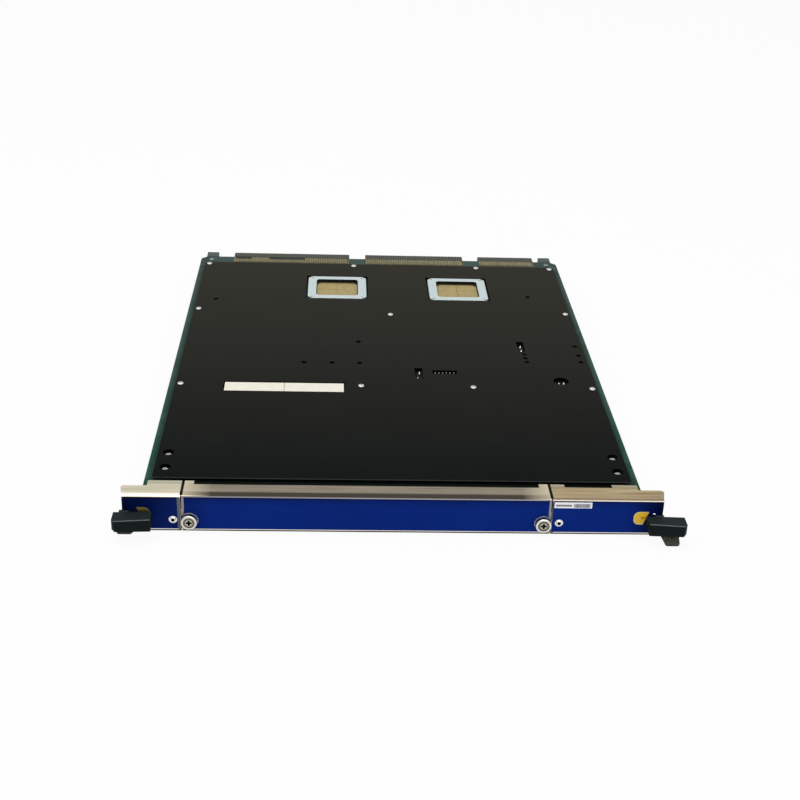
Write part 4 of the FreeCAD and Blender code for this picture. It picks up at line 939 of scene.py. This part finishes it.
# Captive thumbscrews. Turned and knurled steel knobs, nickel plated, with a ring groove and a cross recess.
# Each is held in a pressed collar, with a small coil spring behind it.
THUMBS = {"left": -163.3, "right": 119.6}
knob_steel = Finish("turned_knob", Metallic=1.0)
lathe = knob_steel.cloud(0.5, detail=4)
aside = abs(knob_steel.x - THUMBS["left"]) & abs(knob_steel.x - THUMBS["right"])
above = abs(knob_steel.z - SCREW_HEIGHT)
from_axis = aside * aside + above * above
groove = from_axis.within(8.4, 21.0) * (knob_steel.y < -4)
boss = from_axis < 8.4
slots = ((aside < 1.1) & (above < 2.75)) | ((above < 1.1) & (aside < 2.75))
# Painted shade: the cross recess is near black.
recess_shade = slots * knob_steel.y.within(-5.45, -3)
# Painted reflection: the knurled side is dark blue, as the blue face shows in it.
knurl_reflection = (knob_steel.y > -4.9) * (from_axis > 30)
shine = knob_steel.between(lathe, tint(186, 188, 178), tint(240, 240, 230))
shine = knob_steel.between(groove * 0.85, shine, tint(84, 74, 56))
shine = knob_steel.between(boss * 0.45, shine, tint(132, 130, 104))
shine = knob_steel.between(recess_shade, shine, tint(14, 13, 12))
shine = knob_steel.between(knurl_reflection * 0.8, shine, tint(34, 42, 66))
knob_steel.paint({"Base Color": shine, "Roughness": 0.22 + lathe * 0.2})
knob_steel.relief(lathe, 0.02)
knob = turned([
    (1.6, 1.9), (5.7, 1.9), (6.2, 2.2), (6.4, 2.5, 1), (6.4, 4.7, 1), (6.2, 5.1), (5.8, 5.4), (5.3, 5.5),
    (4.7, 5.45), (4.5, 4.8), (3.4, 4.8), (3.2, 5.35), (3.0, 5.5), (0.5, 5.5),
], sides=72, knurl=0.06)
knob = carved(knob, cross(2.6, 0.95, 6.2, 3.7, 0.7))
SHANK_RADIUS, THREAD_DEPTH = 1.6, 0.25
KNOB_BACK, THREAD_STEP, THREAD_STEPS = 1.9, 0.35, 27
thread = turned([
    (SHANK_RADIUS - THREAD_DEPTH * (step % 2), KNOB_BACK - THREAD_STEP * step)
    for step in range(THREAD_STEPS)
], sides=20)
collar = turned([
    (4.2, -0.7), (4.2, 1.3), (4.4, 1.5), (6.4, 1.5), (6.8, 1.1), (6.8, 0.0), (4.9, 0.0), (4.9, -1.5),
    (1.95, -1.5), (1.95, -0.7),
], sides=44, closed=True)
pressed = Finish("pressed_collar", Metallic=1.0, Roughness=0.4)
sheen = pressed.cloud(1, detail=4)
pressed.paint({"Base Color": pressed.between(sheen, tint(84, 94, 122), tint(140, 148, 166))})
piece("screw_collars", [(collar, [to_front(x, 0, SCREW_HEIGHT) for x in THUMBS.values()])],
      pressed, "board", ["thumbscrew_collars"])
COIL_RADIUS, WIRE_RADIUS = 3.2, 0.28
COIL_START, COIL_LENGTH = -0.4, 1.7
STEPS_A_TURN, COIL_STEPS = 24, 72
coil_rings = []
for step in range(COIL_STEPS + 1):
    turn = 2 * math.pi * step / STEPS_A_TURN
    out = Vector((math.cos(turn), math.sin(turn), 0))
    centre = COIL_RADIUS * out + Vector((0, 0, COIL_START + COIL_LENGTH * step / COIL_STEPS))
    coil_rings.append([
        centre + WIRE_RADIUS * (out * math.cos(angle) + Vector((0, 0, math.sin(angle))))
        for angle in [math.pi * k / 4 for k in range(8)]
    ])
wound = stack(coil_rings)
for word, x in THUMBS.items():
    place = to_front(x, 0, SCREW_HEIGHT)
    piece(f"{word}_knob", [(knob, [place]), (thread, [place])], knob_steel, f"{word}_screw",
          [f"{word}_thumbscrew"])
    coil = piece(f"{word}_coil", [(wound, [place])], zinc, "board",
                 [f"{word}_thumbscrew_spring"])
    coil.parent = None
    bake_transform(coil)

# Floor. A plain white table top that glows to the eye, so that it shows white behind the object.
# It keeps the object's shadow, and has no glow under the object, where the gaps look dark.
FLOOR_GLOW = 0.93
floor_finish = Finish("studio_floor", Base_Color=(0.9, 0.9, 0.9, 1.0), Roughness=0.9, Specular_IOR_Level=0.1)
glow = floor_finish.node("ShaderNodeEmission", {}, {"Color": (1, 1, 1, 1), "Strength": 1.0})
plain = Reading(floor_finish, floor_finish.shader.outputs[0])
under = abs(floor_finish.x).rise(212, 200) & floor_finish.y.rise(2, 8) & floor_finish.y.rise(552, 540)
glow_share = floor_finish.in_sight() * (FLOOR_GLOW - under * FLOOR_GLOW)
mixed = floor_finish.node("ShaderNodeMixShader", {}, [glow_share, plain, glow])
floor_finish.join(floor_finish.tree.nodes["Material Output"].inputs["Surface"], mixed)
floor_mesh = bpy.data.meshes.new("floor")
floor_mesh.from_pydata([(-6, -6, 0), (6, -6, 0), (6, 6, 0), (-6, 6, 0)], [], [(0, 1, 2, 3)])
floor_mesh.materials.append(floor_finish.material)
floor = bpy.data.objects.new("floor", floor_mesh)
floor.location.z = -0.0002
bpy.context.scene.collection.objects.link(floor)

# Light. A white room, and two broad soft lamps: one overhead to the left, one in front to the right.
# The room shows white to the eye and lights the object at half that strength.
ROOM_LIGHT = 0.5
world = bpy.data.worlds.new("studio")
bpy.context.scene.world = world
world.use_nodes = True
room = Shading(world.node_tree)
sky = room.tree.nodes["Background"]
room.join(sky.inputs["Color"], (1, 1, 1, 1))
room.join(sky.inputs["Strength"], room.in_sight() * (1 - ROOM_LIGHT) + ROOM_LIGHT)
for word, spot, aim, size, power in (
    ("overhead_lamp", (-0.5, 0.1, 2.0), (0, 0.25, 0), 2.0, 22.0),
    ("front_lamp", (0.6, -2.0, 1.2), (0, 0.1, 0), 1.6, 14.0),
):
    lamp = bpy.data.lights.new(word, "AREA")
    lamp.size = size
    lamp.energy = power
    stand = bpy.data.objects.new(word, lamp)
    stand.location = spot
    stand.rotation_mode = "QUATERNION"
    stand.rotation_quaternion = (Vector(aim) - Vector(spot)).to_track_quat("-Z", "Y")
    bpy.context.scene.collection.objects.link(stand)

# Camera. It stands where the photograph was taken: in front of the panel, looking down on the cover,
# a little turned and tilted.
CAMERA_PLACE = (-0.0485, -0.9341, 0.592)
pitch, yaw, roll = (math.radians(angle) for angle in (26.77, -3.02, 2.134))
level_right = Vector((math.cos(yaw), math.sin(yaw), 0))
ahead = Vector((-math.sin(yaw) * math.cos(pitch), math.cos(yaw) * math.cos(pitch), -math.sin(pitch)))
level_up = level_right.cross(ahead)
tilted_right = level_right * math.cos(roll) + level_up * math.sin(roll)
tilted_up = level_up * math.cos(roll) - level_right * math.sin(roll)
looking = Matrix((tilted_right, tilted_up, -ahead)).transposed().to_4x4()
lens = bpy.data.cameras.new("photo_view")
lens.sensor_width = 36.0
lens.lens = 61.62
camera = bpy.data.objects.new("photo_view", lens)
camera.matrix_world = Matrix.Translation(CAMERA_PLACE) @ looking
bpy.context.scene.collection.objects.link(camera)
bpy.context.scene.camera = camera
bpy.context.scene.view_settings.view_transform = "Standard"
